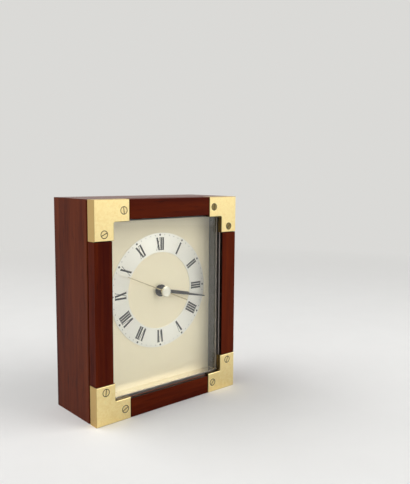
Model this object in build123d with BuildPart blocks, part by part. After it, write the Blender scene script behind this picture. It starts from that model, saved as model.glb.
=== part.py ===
from build123d import *
import math
import os

# A wooden desk clock, in millimetres: the front faces -Y and the clock stands on Z = 0.
# Depths are measured backward from the front of the brass corners.

# Overall size
clock_width = 125.0
clock_height = 150.0
clock_depth = 54.0

# Clearances, and the overrun of every cut
seat_gap = 0.1
fit_gap = 0.02
running_gap = 0.05
clear_gap = 0.5
cut_overrun = 1.0

# Sides of every screw's head and shank, few because the screws repeat
screw_head_sides = 16
screw_shank_sides = 8

# Case: four mitred boards and the glue blocks in its corners
board_thickness = 10.0
board_rounding = 0.8
block_width = 12.0

# Front frame: two stiles and two rails, with a shadow seam behind them
frame_depth = 8.0
frame_setback = 0.2
frame_inset = 0.1
frame_rounding = 0.4
frame_end_gap = 0.3
rail_overlap = 3.5
seam_width = 1.5
seam_inset = 2.2

# Brass corner caps and their slotted screws
corner_leg = 27.0
corner_overhang = 1.3
corner_sheet = 1.5
corner_return_depth = 3.9
corner_notch_rounding = 1.0
corner_chamfer = 0.4
corner_screw_end = 4.5
corner_screw_head_radius = 2.5
corner_screw_radius = 1.4
corner_screw_length = 9.0
corner_slot_width = 0.6
corner_slot_depth = 0.5
corner_slot_turns = (84, 24, 70, 38, 28, 96, 52, 88)

# Glass, the bead behind it and the dark surround that reaches back to the dial
glass_thickness = 2.0
bead_depth = 1.2
bead_width = 1.2

# Dial
dial_top_margin = 10.7
dial_sheet = 0.6
ring_margin = 5.6
ring_band = 14.1
ring_thickness = 0.3
backboard_thickness = 4.0
wood_screw_radius = 1.3
wood_screw_head_radius = 2.6
wood_screw_head_depth = 1.6
back_screw_length = 11.0

# Hands, set at sixteen minutes past three
hour_hand_angle = 100.6
minute_hand_angle = 102.3
second_hand_angle = 293.4
hand_sheet = 0.4
hand_seat = 0.3
hour_hand_stand = 1.4
hour_tip_gap = 0.8
hour_hand_root_width = 2.8
hour_hand_tip_width = 1.5
hour_boss_radius = 4.4
minute_hand_step = 1.4
minute_tip_gap = 0.1
minute_hand_root_width = 2.4
minute_hand_tip_width = 0.9
minute_boss_radius = 3.4
second_hand_step = 3.7
second_tip_gap = 7.1
second_tail_gap = 6.0
second_hand_root_width = 0.9
second_hand_tip_width = 0.5
second_socket_radius = 1.3
second_socket_length = 1.8
cap_radius = 3.75
cap_thickness = 1.6
cap_chamfer = 0.5
cap_recess = 0.9
cap_clearance = 0.6

# Movement case
movement_rounding = 2.5
movement_floor = 1.5
movement_wall = 1.5
bay_wall = 1.0
wheel_clearance = 0.5
cover_thickness = 1.4
bush_radius = 4.0
pillar_width = 4.8
ear_length = 8.0
ear_width = 9.0
ear_thickness = 2.0
ear_screw_radius = 1.2
ear_screw_head_radius = 2.2
ear_screw_head_depth = 1.2
ear_screw_bite = 3.0
hook_width = 6.0
hook_thickness = 1.2
hook_length = 7.0
hook_gap = 0.2
hook_nose_height = 1.2
hook_nose_reach = 0.6
train_plate_thickness = 1.2

# Gear train: tooth counts, modules and the directions from one arbor to the next
wheel_thickness = 1.0
tier_gap = 0.8
pinion_margin = 0.3
arbor_radius = 0.6
hour_pipe_radius = 2.5
minute_pipe_radius = 1.65
motion_post_radius = 1.0
tip_height_share = 0.75
root_depth_share = 1.15
tip_width_share = 0.2
root_width_share = 0.5
rotor_pinion_teeth = 6
fifth_wheel_teeth = 36
fifth_pinion_teeth = 8
seconds_wheel_teeth = 40
seconds_pinion_teeth = 6
third_wheel_teeth = 48
third_pinion_teeth = 8
centre_wheel_teeth = 60
cannon_pinion_teeth = 10
motion_wheel_teeth = 30
motion_pinion_teeth = 8
hour_wheel_teeth = 32
setting_pinion_teeth = 10
rotor_module = 0.4
seconds_module = 0.35
centre_module = 0.34
motion_module = 0.5
third_direction = 115
fifth_direction = 30
rotor_direction = 70
motion_direction = 180
setting_direction = 180

# Stepping motor, circuit and cell
magnet_radius = 3.0
magnet_thickness = 2.0
stator_gap = 0.4
stator_rim = 0.9
stator_thickness = 1.0
stator_leg_width = 4.0
stator_left_reach = 4.0
coil_window_gap = 3.5
coil_edge_gap = 1.8
coil_gap = 0.3
coil_flange_thickness = 0.8
core_width = 1.8
core_thickness = 0.8
peg_width = 2.4
board_gap = 1.5
board_top_reach = 14.0
board_sheet = 1.0
chip_width = 4.4
chip_height = 0.9
crystal_radius = 1.0
crystal_length = 6.0
cell_radius = 7.1
cell_length = 50.0
cell_tip_radius = 2.6
cell_tip_length = 1.2
cell_gap = 0.2
contact_room = 1.5
contact_sheet = 0.4
contact_width = 8.0
contact_leaf_width = 4.0

# Back: recessed cover, battery door and setting knob
cover_stand = 1.5
back_cover_thickness = 2.2
back_rim_width = 2.0
back_rim_height = 1.0
door_margin = 2.0
door_ledge = 1.5
door_ledge_depth = 0.8
door_gap = 0.25
door_rib_count = 5
door_rib_width = 1.0
door_rib_height = 0.6
door_rib_spacing = 2.2
door_rib_length = 14.0
stem_radius = 1.4
stem_pivot_radius = 0.8
knob_stand = 0.8
knob_radius = 6.0
knob_length = 5.0
knob_rounding = 0.4
knob_flutes = 20
knob_flute_depth = 0.5

# Sizes that follow from the ones above
rail_width = board_thickness + rail_overlap
opening_width = clock_width - 2 * rail_width
opening_height = clock_height - 2 * rail_width
cavity_width = clock_width - 2 * board_thickness
cavity_height = clock_height - 2 * board_thickness
clock_middle = clock_height / 2
corner_leg_width = rail_width + corner_overhang
corner_screw_inset = corner_leg_width / 2
corner_screw_reach = corner_leg - corner_screw_end
corner_pocket = corner_sheet + seat_gap
box_front = frame_depth + seam_width
glass_front = corner_return_depth
bead_front = glass_front + glass_thickness
surround_front = bead_front + bead_depth
pane_width = opening_width - 2 * seat_gap
pane_height = opening_height - 2 * seat_gap
bead_opening_width = pane_width - 2 * bead_width
bead_opening_height = pane_height - 2 * bead_width

# The hands stand in front of the dial, and the cap of the second hand clears the glass
cap_front = bead_front + cap_clearance
second_hand_front = cap_front + cap_thickness
minute_hand_front = second_hand_front + second_hand_step
hour_hand_front = minute_hand_front + minute_hand_step
dial_front = hour_hand_front + hand_sheet + hour_hand_stand
dial_back = dial_front + dial_sheet
ring_outer_radius = bead_opening_width / 2 - ring_margin
ring_inner_radius = ring_outer_radius - ring_band
dial_centre_height = clock_middle + bead_opening_height / 2 - dial_top_margin - ring_outer_radius
hand_axis = (0, dial_centre_height)
hour_hand_length = ring_inner_radius - hour_tip_gap
minute_hand_length = ring_outer_radius - minute_tip_gap
second_hand_length = ring_outer_radius - second_tip_gap
second_hand_tail = ring_inner_radius - second_tail_gap

# Depth of each tier of the movement, from the front backward
movement_front = dial_back + backboard_thickness
floor_back = movement_front + movement_floor
hour_tier = floor_back + tier_gap
motion_tier = hour_tier + wheel_thickness + tier_gap
centre_tier = motion_tier + wheel_thickness + tier_gap
third_tier = centre_tier + wheel_thickness + tier_gap
plate_front = third_tier + wheel_thickness + tier_gap
plate_back = plate_front + train_plate_thickness
seconds_tier = plate_back + tier_gap
fifth_tier = seconds_tier + wheel_thickness + tier_gap
magnet_tier = fifth_tier + wheel_thickness + tier_gap
cover_front = magnet_tier + magnet_thickness + tier_gap
movement_back = cover_front + cover_thickness
back_cover_front = movement_back + cover_stand
back_cover_back = back_cover_front + back_cover_thickness
knob_front = back_cover_back + knob_stand
knob_back = knob_front + knob_length
pinion_length = wheel_thickness + 2 * pinion_margin
pivot_depth = cover_thickness / 2

# Distances between arbors, and the module that the second pair on a shared distance takes
third_distance = centre_module * (centre_wheel_teeth + third_pinion_teeth) / 2
third_module = 2 * third_distance / (third_wheel_teeth + seconds_pinion_teeth)
fifth_distance = seconds_module * (seconds_wheel_teeth + fifth_pinion_teeth) / 2
rotor_distance = rotor_module * (fifth_wheel_teeth + rotor_pinion_teeth) / 2
motion_distance = motion_module * (motion_wheel_teeth + cannon_pinion_teeth) / 2
hour_module = 2 * motion_distance / (hour_wheel_teeth + motion_pinion_teeth)
setting_distance = motion_module * (motion_wheel_teeth + setting_pinion_teeth) / 2

# Inside of the movement case, measured from the hand axis: the train bay over the cell bay
centre_tip_radius = centre_module * (centre_wheel_teeth / 2 + tip_height_share)
cell_bay_height = 2 * (cell_radius + cell_gap)
inner_half = cell_length / 2 + contact_room
movement_half = inner_half + movement_wall
train_bay_bottom = -centre_tip_radius - wheel_clearance
cell_bay_top = train_bay_bottom - bay_wall
cell_bay_bottom = cell_bay_top - cell_bay_height
movement_bottom = cell_bay_bottom - movement_wall
pillar_reach = inner_half - pillar_width / 2
ear_reach = movement_half + ear_length / 2

backward = (0, 1, 0)


def at(depth):
    """Plane that faces the front, at a depth behind the front of the brass corners."""
    return Plane.XZ.offset(clock_depth / 2 - depth)


def polar(centre, distance, direction):
    """Point at a distance and direction, in degrees, from a centre."""
    angle = math.radians(direction)
    return (centre[0] + distance * math.cos(angle), centre[1] + distance * math.sin(angle))


def rectangle_face(depth, left, right, bottom, top, rounding=0):
    """Upright rectangle between four edges, at a depth."""
    with BuildSketch(at(depth)) as face:
        with Locations(((left + right) / 2, (bottom + top) / 2)):
            Rectangle(right - left, top - bottom)
        if rounding:
            fillet(face.vertices(), rounding)
    return face.sketch


def frame_face(depth, outer_width, outer_height, inner_width, inner_height):
    """Rectangular ring about the middle of the front, at a depth."""
    with BuildSketch(at(depth)) as face:
        with Locations((0, clock_middle)):
            Rectangle(outer_width, outer_height)
            Rectangle(inner_width, inner_height, mode=Mode.SUBTRACT)
    return face.sketch


def round_faces(depth, radius, *places):
    """A circle at each place, at a depth."""
    with BuildSketch(at(depth)) as face:
        with Locations(*places):
            Circle(radius)
    return face.sketch


def sided_faces(depth, radius, sides, *places):
    """A regular polygon at each place, at a depth, with its corners on a radius."""
    with BuildSketch(at(depth)) as face:
        with Locations(*places):
            RegularPolygon(radius, sides)
    return face.sketch


def square_faces(depth, width, *places):
    """An upright square at each place, at a depth."""
    with BuildSketch(at(depth)) as face:
        with Locations(*places):
            Rectangle(width, width)
    return face.sketch


def tooth_points(teeth, module, phase):
    """Corners of a toothed outline whose first tooth is centred on the phase, in degrees."""
    pitch_radius = teeth * module / 2
    tip_radius = pitch_radius + tip_height_share * module
    root_radius = pitch_radius - root_depth_share * module
    tooth_angle = 360 / teeth
    points = []
    for tooth in range(teeth):
        middle = phase + tooth * tooth_angle
        points.append(polar((0, 0), root_radius, middle - root_width_share * tooth_angle / 2))
        points.append(polar((0, 0), tip_radius, middle - tip_width_share * tooth_angle / 2))
        points.append(polar((0, 0), tip_radius, middle + tip_width_share * tooth_angle / 2))
        points.append(polar((0, 0), root_radius, middle + root_width_share * tooth_angle / 2))
    return points


def gear_face(depth, centre, teeth, module, phase):
    """Toothed disc about a centre, at a depth."""
    with BuildSketch(at(depth)) as face:
        with Locations(centre):
            Polygon(*tooth_points(teeth, module, phase), align=None)
    return face.sketch


def mesh_phase(teeth, phase, direction, partner_teeth):
    """Phase of a partner gear that puts its gap where this gear has a tooth, along a direction."""
    tooth_share = (direction - phase) * teeth / 360
    return direction + 180 - (1 / 2 - tooth_share) * 360 / partner_teeth


def hand_face(depth, turn, points):
    """Hand outline given as (across, along) points, turned clockwise from twelve."""
    angle = math.radians(turn)
    corners = []
    for across, along in points:
        corner_x = along * math.sin(angle) - across * math.cos(angle)
        corner_z = along * math.cos(angle) + across * math.sin(angle)
        corners.append((corner_x, corner_z))
    with BuildSketch(at(depth)) as face:
        with Locations(hand_axis):
            Polygon(*corners, align=None)
    return face.sketch


def from_axis(across, up):
    """Point given from the hand axis."""
    return (hand_axis[0] + across, hand_axis[1] + up)


def write(piece, name):
    """Labels a finished piece and writes it to its own file."""
    piece.part.label = name
    export_step(piece.part, f"parts/{name}.step")


os.makedirs("parts", exist_ok=True)

# Places that several pieces share
corner_signs = [(side, level) for side in (-1, 1) for level in (-1, 1)]
half_width = clock_width / 2
stile_screws = [
    (side * (half_width - corner_screw_inset), clock_middle + level * (clock_middle - corner_screw_reach))
    for side, level in corner_signs
]
rail_screws = [
    (side * (half_width - corner_screw_reach), clock_middle + level * (clock_middle - corner_screw_inset))
    for side, level in corner_signs
]
corner_screw_places = stile_screws + rail_screws
block_places = [
    (side * (cavity_width - block_width) / 2, clock_middle + level * (cavity_height - block_width) / 2)
    for side, level in corner_signs
]
ear_places = [from_axis(side * ear_reach, 0) for side in (-1, 1)]
third_place = polar(hand_axis, third_distance, third_direction)
fifth_place = polar(hand_axis, fifth_distance, fifth_direction)
rotor_place = polar(fifth_place, rotor_distance, rotor_direction)
motion_place = polar(hand_axis, motion_distance, motion_direction)
setting_place = polar(motion_place, setting_distance, setting_direction)

# The coil lies over the stator's bridge, and the movement case closes over the coil
stator_front = magnet_tier + (magnet_thickness - stator_thickness) / 2
stator_hole_radius = magnet_radius + stator_gap
stator_reach = stator_hole_radius + stator_rim
core_front = stator_front - core_thickness
core_middle = core_front + core_thickness / 2
coil_radius = cover_front - core_middle - coil_gap
core_line = rotor_place[1] + stator_reach + coil_window_gap + coil_radius
inner_top = core_line + coil_radius + coil_edge_gap
movement_top = inner_top + movement_wall
train_bay_line = hand_axis[1] + train_bay_bottom
pillar_levels = (train_bay_line + pillar_width / 2, inner_top - pillar_width / 2)
pillar_places = [(hand_axis[0] + side * pillar_reach, level) for side in (-1, 1) for level in pillar_levels]

# Case boards, mitred where they meet
inner_half_width = half_width - board_thickness
side_outline = [
    (half_width, 0),
    (half_width, clock_height),
    (inner_half_width, clock_height - board_thickness),
    (inner_half_width, board_thickness),
]
level_outline = [
    (-half_width, clock_height),
    (half_width, clock_height),
    (inner_half_width, clock_height - board_thickness),
    (-inner_half_width, clock_height - board_thickness),
]
case_boards = (
    ("case_left_side", [(-x, z) for x, z in side_outline], Axis.Z, Axis.X, 0),
    ("case_right_side", side_outline, Axis.Z, Axis.X, -1),
    ("case_bottom_board", [(x, clock_height - z) for x, z in level_outline], Axis.X, Axis.Z, 0),
    ("case_top_board", level_outline, Axis.X, Axis.Z, -1),
)
for board_name, outline, grain_axis, outward_axis, outward_group in case_boards:
    with BuildPart() as case_board:
        with BuildSketch(at(box_front)) as board_face:
            with BuildLine():
                Polyline(*outline, close=True)
            make_face()
        extrude(board_face.sketch, amount=clock_depth - box_front, dir=backward)
        outer_edges = case_board.edges().filter_by(grain_axis).group_by(outward_axis)[outward_group]
        fillet(outer_edges, board_rounding)
    write(case_board, board_name)

# Glue blocks in the corners of the case: they back the dial board and take the back cover's screws
board_back = dial_back + backboard_thickness
with BuildPart() as corner_blocks:
    with BuildSketch(at(board_back)) as block_faces:
        with Locations(*block_places):
            Rectangle(block_width, block_width)
    extrude(block_faces.sketch, amount=back_cover_front - board_back, dir=backward)
    block_pilots = sided_faces(board_back, wood_screw_radius + fit_gap, screw_shank_sides, *block_places)
    extrude(block_pilots, amount=back_cover_front - board_back, dir=backward, mode=Mode.SUBTRACT)
write(corner_blocks, "corner_blocks")

# Front frame: each bar has a shown front between the brass caps, a core under them and a tongue in the seam
shown_reach = half_width - corner_leg - frame_end_gap
shown_bottom = corner_leg + frame_end_gap
opening_half = opening_width / 2
opening_bottom = rail_width
opening_top = clock_height - rail_width
frame_bars = []
for side, bar_name in ((-1, "frame_left_stile"), (1, "frame_right_stile")):
    shown = sorted((side * opening_half, side * (half_width - frame_inset)))
    core = sorted((side * opening_half, side * (half_width - corner_pocket)))
    tongue = sorted((side * opening_half, side * (half_width - seam_inset)))
    bar = (
        (*shown, shown_bottom, clock_height - shown_bottom),
        (*core, corner_pocket, clock_height - corner_pocket),
        (*tongue, seam_inset, clock_height - seam_inset),
    )
    frame_bars.append((bar_name, bar))
frame_bars.append((
    "frame_bottom_rail",
    (
        (-shown_reach, shown_reach, frame_inset, opening_bottom),
        (-opening_half, opening_half, corner_pocket, opening_bottom),
        (-opening_half, opening_half, seam_inset, opening_bottom),
    ),
))
frame_bars.append((
    "frame_top_rail",
    (
        (-shown_reach, shown_reach, opening_top, clock_height - frame_inset),
        (-opening_half, opening_half, opening_top, clock_height - corner_pocket),
        (-opening_half, opening_half, opening_top, clock_height - seam_inset),
    ),
))
for bar_name, (shown, core, tongue) in frame_bars:
    with BuildPart() as frame_bar:
        extrude(rectangle_face(frame_setback, *shown), amount=frame_depth - frame_setback, dir=backward)
        fillet(frame_bar.faces().sort_by(Axis.Y)[0].edges(), frame_rounding)
        extrude(rectangle_face(corner_pocket, *core), amount=frame_depth - corner_pocket, dir=backward)
        extrude(rectangle_face(frame_depth, *tongue), amount=seam_width, dir=backward)
        screw_holes = sided_faces(0, corner_screw_radius + fit_gap, screw_shank_sides, *corner_screw_places)
        extrude(screw_holes, amount=corner_screw_length + seat_gap, dir=backward, mode=Mode.SUBTRACT)
    write(frame_bar, bar_name)

# Brass corner caps: folded sheet, hollow behind, with a return that lines the opening
cap_outline = [
    (0, 0),
    (corner_leg, 0),
    (corner_leg, corner_leg_width),
    (corner_leg_width, corner_leg_width),
    (corner_leg_width, corner_leg),
    (0, corner_leg),
]
hollow_end = corner_leg + cut_overrun
hollow_width = rail_width + seat_gap
hollow_outline = [
    (corner_sheet, corner_sheet),
    (hollow_end, corner_sheet),
    (hollow_end, hollow_width),
    (hollow_width, hollow_width),
    (hollow_width, hollow_end),
    (corner_sheet, hollow_end),
]
corner_names = {
    (-1, 1): "corner_top_left",
    (1, 1): "corner_top_right",
    (-1, -1): "corner_bottom_left",
    (1, -1): "corner_bottom_right",
}
flat_share = math.cos(math.pi / screw_head_sides)
head_slope = (corner_screw_head_radius - corner_screw_radius) * flat_share


def sunk_heads(radius):
    """Countersunk heads of the brass screws, which slope down to their shanks through the sheet."""
    with BuildPart() as heads:
        rims = sided_faces(0, radius, screw_head_sides, *corner_screw_places)
        extrude(rims, amount=corner_sheet, dir=backward)
        chamfer(heads.faces().group_by(Axis.Y)[-1].edges(), head_slope)
    return heads.part


head_sinks = sunk_heads(corner_screw_head_radius + seat_gap)
for (side, level), corner_name in corner_names.items():
    corner_x = side * half_width
    corner_z = clock_middle + level * clock_middle
    cap_points = [(corner_x - side * x, corner_z - level * z) for x, z in cap_outline]
    hollow_points = [(corner_x - side * x, corner_z - level * z) for x, z in hollow_outline]
    return_ends = sorted((corner_x - side * rail_width, corner_x - side * hollow_end))
    return_levels = sorted((corner_z - level * rail_width, corner_z - level * hollow_end))
    with BuildPart() as corner_cap:
        with BuildSketch(at(0)) as cap_face:
            with BuildLine():
                Polyline(*cap_points, close=True)
            make_face()
            fillet(cap_face.vertices().sort_by_distance(cap_points[3])[0], corner_notch_rounding)
        extrude(cap_face.sketch, amount=frame_depth, dir=backward)
        chamfer(corner_cap.faces().sort_by(Axis.Y)[0].edges(), corner_chamfer)
        with BuildSketch(at(corner_sheet)) as hollow_face:
            with BuildLine():
                Polyline(*hollow_points, close=True)
            make_face()
        extrude(hollow_face.sketch, amount=frame_depth, dir=backward, mode=Mode.SUBTRACT)
        return_cut = rectangle_face(corner_return_depth, *return_ends, *return_levels)
        extrude(return_cut, amount=frame_depth, dir=backward, mode=Mode.SUBTRACT)
        add(head_sinks, mode=Mode.SUBTRACT)
    write(corner_cap, corner_name)

# Slotted screws that hold the brass to the frame
slot_align = (Align.CENTER, Align.CENTER, Align.MAX)
slot_length = 2 * corner_screw_head_radius + cut_overrun
with BuildPart() as corner_screws:
    add(sunk_heads(corner_screw_head_radius))
    shanks = sided_faces(corner_sheet, corner_screw_radius, screw_shank_sides, *corner_screw_places)
    extrude(shanks, amount=corner_screw_length - corner_sheet, dir=backward)
    for place, slot_turn in zip(corner_screw_places, corner_slot_turns):
        with Locations(at(0) * Pos(*place)):
            Box(
                slot_length,
                corner_slot_width,
                corner_slot_depth,
                rotation=(0, 0, slot_turn),
                align=slot_align,
                mode=Mode.SUBTRACT,
            )
write(corner_screws, "corner_screws")

# Glass, held against the brass returns
with BuildPart() as glass_pane:
    with BuildSketch(at(glass_front)) as pane_face:
        with Locations((0, clock_middle)):
            Rectangle(pane_width, pane_height)
    extrude(pane_face.sketch, amount=glass_thickness, dir=backward)
write(glass_pane, "glass_pane")

# Pale bead behind the edge of the glass
with BuildPart() as glass_bead:
    bead_face = frame_face(bead_front, pane_width, pane_height, bead_opening_width, bead_opening_height)
    extrude(bead_face, amount=bead_depth, dir=backward)
write(glass_bead, "glass_bead")

# Dark surround: a nose in the frame's opening and a wider body in the case, clamped on the dial
surround_width = cavity_width - 2 * seat_gap
surround_height = cavity_height - 2 * seat_gap
with BuildPart() as dial_surround:
    clear_opening = (bead_opening_width, bead_opening_height)
    nose_face = frame_face(surround_front, pane_width, pane_height, *clear_opening)
    extrude(nose_face, amount=dial_front - surround_front, dir=backward)
    body_face = frame_face(box_front, surround_width, surround_height, *clear_opening)
    extrude(body_face, amount=dial_front - box_front, dir=backward)
write(dial_surround, "dial_surround")

# Dial sheet, its applied hour ring and the board that carries the movement
bush_hole_radius = bush_radius + seat_gap
surround_half_width = surround_width / 2
dial_bounds = (
    -surround_half_width,
    surround_half_width,
    clock_middle - surround_height / 2,
    clock_middle + surround_height / 2,
)
with BuildPart() as dial_plate:
    extrude(rectangle_face(dial_front, *dial_bounds), amount=dial_sheet, dir=backward)
    dial_hole = round_faces(dial_front, bush_hole_radius, hand_axis)
    extrude(dial_hole, amount=dial_sheet, dir=backward, mode=Mode.SUBTRACT)
write(dial_plate, "dial_plate")

with BuildPart() as chapter_ring:
    ring_front = dial_front - ring_thickness
    extrude(round_faces(ring_front, ring_outer_radius, hand_axis), amount=ring_thickness, dir=backward)
    ring_hole = round_faces(ring_front, ring_inner_radius, hand_axis)
    extrude(ring_hole, amount=ring_thickness, dir=backward, mode=Mode.SUBTRACT)
write(chapter_ring, "chapter_ring")

ear_bite_front = movement_front - ear_screw_bite
with BuildPart() as dial_backboard:
    extrude(rectangle_face(dial_back, *dial_bounds), amount=backboard_thickness, dir=backward)
    board_hole = round_faces(dial_back, bush_hole_radius, hand_axis)
    extrude(board_hole, amount=backboard_thickness, dir=backward, mode=Mode.SUBTRACT)
    ear_pilots = sided_faces(ear_bite_front, ear_screw_radius + fit_gap, screw_shank_sides, *ear_places)
    extrude(ear_pilots, amount=ear_screw_bite, dir=backward, mode=Mode.SUBTRACT)
write(dial_backboard, "dial_backboard")

# Hands: each is pushed on its own pipe or arbor
hour_pipe_front = hour_hand_front - hand_seat
minute_pipe_front = minute_hand_front - hand_seat
with BuildPart() as hour_hand:
    hour_points = [
        (hour_hand_root_width / 2, 0),
        (-hour_hand_root_width / 2, 0),
        (-hour_hand_tip_width / 2, hour_hand_length - hour_hand_tip_width),
        (0, hour_hand_length),
        (hour_hand_tip_width / 2, hour_hand_length - hour_hand_tip_width),
    ]
    extrude(hand_face(hour_hand_front, hour_hand_angle, hour_points), amount=hand_sheet, dir=backward)
    extrude(round_faces(hour_hand_front, hour_boss_radius, hand_axis), amount=hand_sheet, dir=backward)
    hour_bore = round_faces(hour_hand_front, hour_pipe_radius + fit_gap, hand_axis)
    extrude(hour_bore, amount=hand_sheet, dir=backward, mode=Mode.SUBTRACT)
write(hour_hand, "hour_hand")

with BuildPart() as minute_hand:
    minute_points = [
        (minute_hand_root_width / 2, 0),
        (-minute_hand_root_width / 2, 0),
        (-minute_hand_tip_width / 2, minute_hand_length - minute_hand_tip_width),
        (0, minute_hand_length),
        (minute_hand_tip_width / 2, minute_hand_length - minute_hand_tip_width),
    ]
    extrude(hand_face(minute_hand_front, minute_hand_angle, minute_points), amount=hand_sheet, dir=backward)
    extrude(round_faces(minute_hand_front, minute_boss_radius, hand_axis), amount=hand_sheet, dir=backward)
    minute_bore = round_faces(minute_hand_front, minute_pipe_radius + fit_gap, hand_axis)
    extrude(minute_bore, amount=hand_sheet, dir=backward, mode=Mode.SUBTRACT)
write(minute_hand, "minute_hand")

with BuildPart() as second_hand:
    second_points = [
        (second_hand_root_width / 2, -second_hand_tail),
        (-second_hand_root_width / 2, -second_hand_tail),
        (-second_hand_tip_width / 2, second_hand_length),
        (second_hand_tip_width / 2, second_hand_length),
    ]
    extrude(hand_face(second_hand_front, second_hand_angle, second_points), amount=hand_sheet, dir=backward)
    second_socket = round_faces(second_hand_front, second_socket_radius, hand_axis)
    extrude(second_socket, amount=second_socket_length, dir=backward)
    second_bore = round_faces(second_hand_front, arbor_radius + fit_gap, hand_axis)
    extrude(second_bore, amount=second_socket_length, dir=backward, mode=Mode.SUBTRACT)
write(second_hand, "second_hand")

arbor_front = second_hand_front - cap_recess
with BuildPart() as hand_cap:
    extrude(round_faces(cap_front, cap_radius, hand_axis), amount=cap_thickness, dir=backward)
    chamfer(hand_cap.faces().sort_by(Axis.Y)[0].edges(), cap_chamfer)
    cap_bore = round_faces(arbor_front, arbor_radius + fit_gap, hand_axis)
    extrude(cap_bore, amount=cap_recess, dir=backward, mode=Mode.SUBTRACT)
write(hand_cap, "hand_cap")

# Movement base: a moulded tray with the bush, the pillars, the fixing ears, the hook pockets and the cell bay
movement_left, movement_base_line = from_axis(-movement_half, movement_bottom)
movement_right = hand_axis[0] + movement_half
movement_bounds = (movement_left, movement_right, movement_base_line, movement_top)
inner_left, inner_bottom = from_axis(-inner_half, cell_bay_bottom)
inner_right, cell_bay_line = from_axis(inner_half, cell_bay_top)
board_left = hand_axis[0] + centre_tip_radius + board_gap
board_bottom = train_bay_line + pillar_width + clear_gap
board_right, board_top = from_axis(inner_half - clear_gap, board_top_reach)
board_peg_places = [
    (board_left + peg_width / 2, board_bottom + peg_width / 2),
    (board_left + peg_width / 2, board_top - peg_width / 2),
]
board_front = motion_tier
tray_depth = cover_front - movement_front
nose_front = cover_front - hook_length
hook_levels = (hand_axis[1] - hook_width / 2, hand_axis[1] + hook_width / 2)
pocket_levels = (hook_levels[0] - seat_gap, hook_levels[1] + seat_gap)
with BuildPart() as movement_base:
    tray_face = rectangle_face(movement_front, *movement_bounds, movement_rounding)
    extrude(tray_face, amount=tray_depth, dir=backward)
    ear_left, ear_bottom = from_axis(-movement_half - ear_length, -ear_width / 2)
    ear_right, ear_top = from_axis(movement_half + ear_length, ear_width / 2)
    ear_face = rectangle_face(movement_front, ear_left, ear_right, ear_bottom, ear_top, movement_rounding)
    extrude(ear_face, amount=ear_thickness, dir=backward)
    train_bay = rectangle_face(floor_back, inner_left, inner_right, train_bay_line, inner_top)
    extrude(train_bay, amount=tray_depth, dir=backward, mode=Mode.SUBTRACT)
    cell_bay = rectangle_face(floor_back, inner_left, inner_right, inner_bottom, cell_bay_line)
    extrude(cell_bay, amount=tray_depth, dir=backward, mode=Mode.SUBTRACT)
    pillars = square_faces(floor_back, pillar_width, *pillar_places)
    extrude(pillars, amount=plate_front - floor_back, dir=backward)
    for side in (-1, 1):
        pocket_outer = hand_axis[0] + side * (movement_half + cut_overrun)
        pocket_inner = hand_axis[0] + side * (movement_half - hook_nose_reach - seat_gap)
        pocket_sides = sorted((pocket_outer, pocket_inner))
        pocket_face = rectangle_face(nose_front - seat_gap, *pocket_sides, *pocket_levels)
        extrude(pocket_face, amount=hook_nose_height + 2 * seat_gap, dir=backward, mode=Mode.SUBTRACT)
    board_pegs = square_faces(floor_back, peg_width, *board_peg_places)
    extrude(board_pegs, amount=board_front - floor_back, dir=backward)
    extrude(round_faces(dial_front, bush_radius, hand_axis), amount=movement_front - dial_front, dir=backward)
    bush_bore = round_faces(dial_front, hour_pipe_radius + running_gap, hand_axis)
    extrude(bush_bore, amount=floor_back - dial_front, dir=backward, mode=Mode.SUBTRACT)
    post_end = motion_tier + wheel_thickness
    motion_post = round_faces(floor_back, motion_post_radius, motion_place)
    extrude(motion_post, amount=post_end - floor_back, dir=backward)
    third_pivot_hole = round_faces(movement_front, arbor_radius + running_gap, third_place)
    extrude(third_pivot_hole, amount=movement_floor, dir=backward, mode=Mode.SUBTRACT)
    stem_pivot_hole = round_faces(movement_front, stem_pivot_radius + running_gap, setting_place)
    extrude(stem_pivot_hole, amount=movement_floor, dir=backward, mode=Mode.SUBTRACT)
    ear_holes = sided_faces(movement_front, ear_screw_radius + fit_gap, screw_shank_sides, *ear_places)
    extrude(ear_holes, amount=ear_thickness, dir=backward, mode=Mode.SUBTRACT)
write(movement_base, "movement_base")

ear_back = movement_front + ear_thickness
with BuildPart() as movement_screws:
    ear_heads = sided_faces(ear_back, ear_screw_head_radius, screw_head_sides, *ear_places)
    extrude(ear_heads, amount=ear_screw_head_depth, dir=backward)
    ear_shanks = sided_faces(ear_bite_front, ear_screw_radius, screw_shank_sides, *ear_places)
    extrude(ear_shanks, amount=ear_back - ear_bite_front, dir=backward)
write(movement_screws, "movement_screws")

# Motion work: hour wheel on its pipe, motion wheel on its post
motion_phase = mesh_phase(cannon_pinion_teeth, 0, motion_direction, motion_wheel_teeth)
motion_pinion_phase = mesh_phase(hour_wheel_teeth, 0, motion_direction, motion_pinion_teeth)
with BuildPart() as hour_wheel:
    hour_gear = gear_face(hour_tier, hand_axis, hour_wheel_teeth, hour_module, 0)
    extrude(hour_gear, amount=wheel_thickness, dir=backward)
    hour_pipe = round_faces(hour_pipe_front, hour_pipe_radius, hand_axis)
    extrude(hour_pipe, amount=hour_tier - hour_pipe_front, dir=backward)
    hour_wheel_length = hour_tier + wheel_thickness - hour_pipe_front
    hour_wheel_bore = round_faces(hour_pipe_front, minute_pipe_radius + running_gap, hand_axis)
    extrude(hour_wheel_bore, amount=hour_wheel_length, dir=backward, mode=Mode.SUBTRACT)
write(hour_wheel, "hour_wheel")

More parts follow.
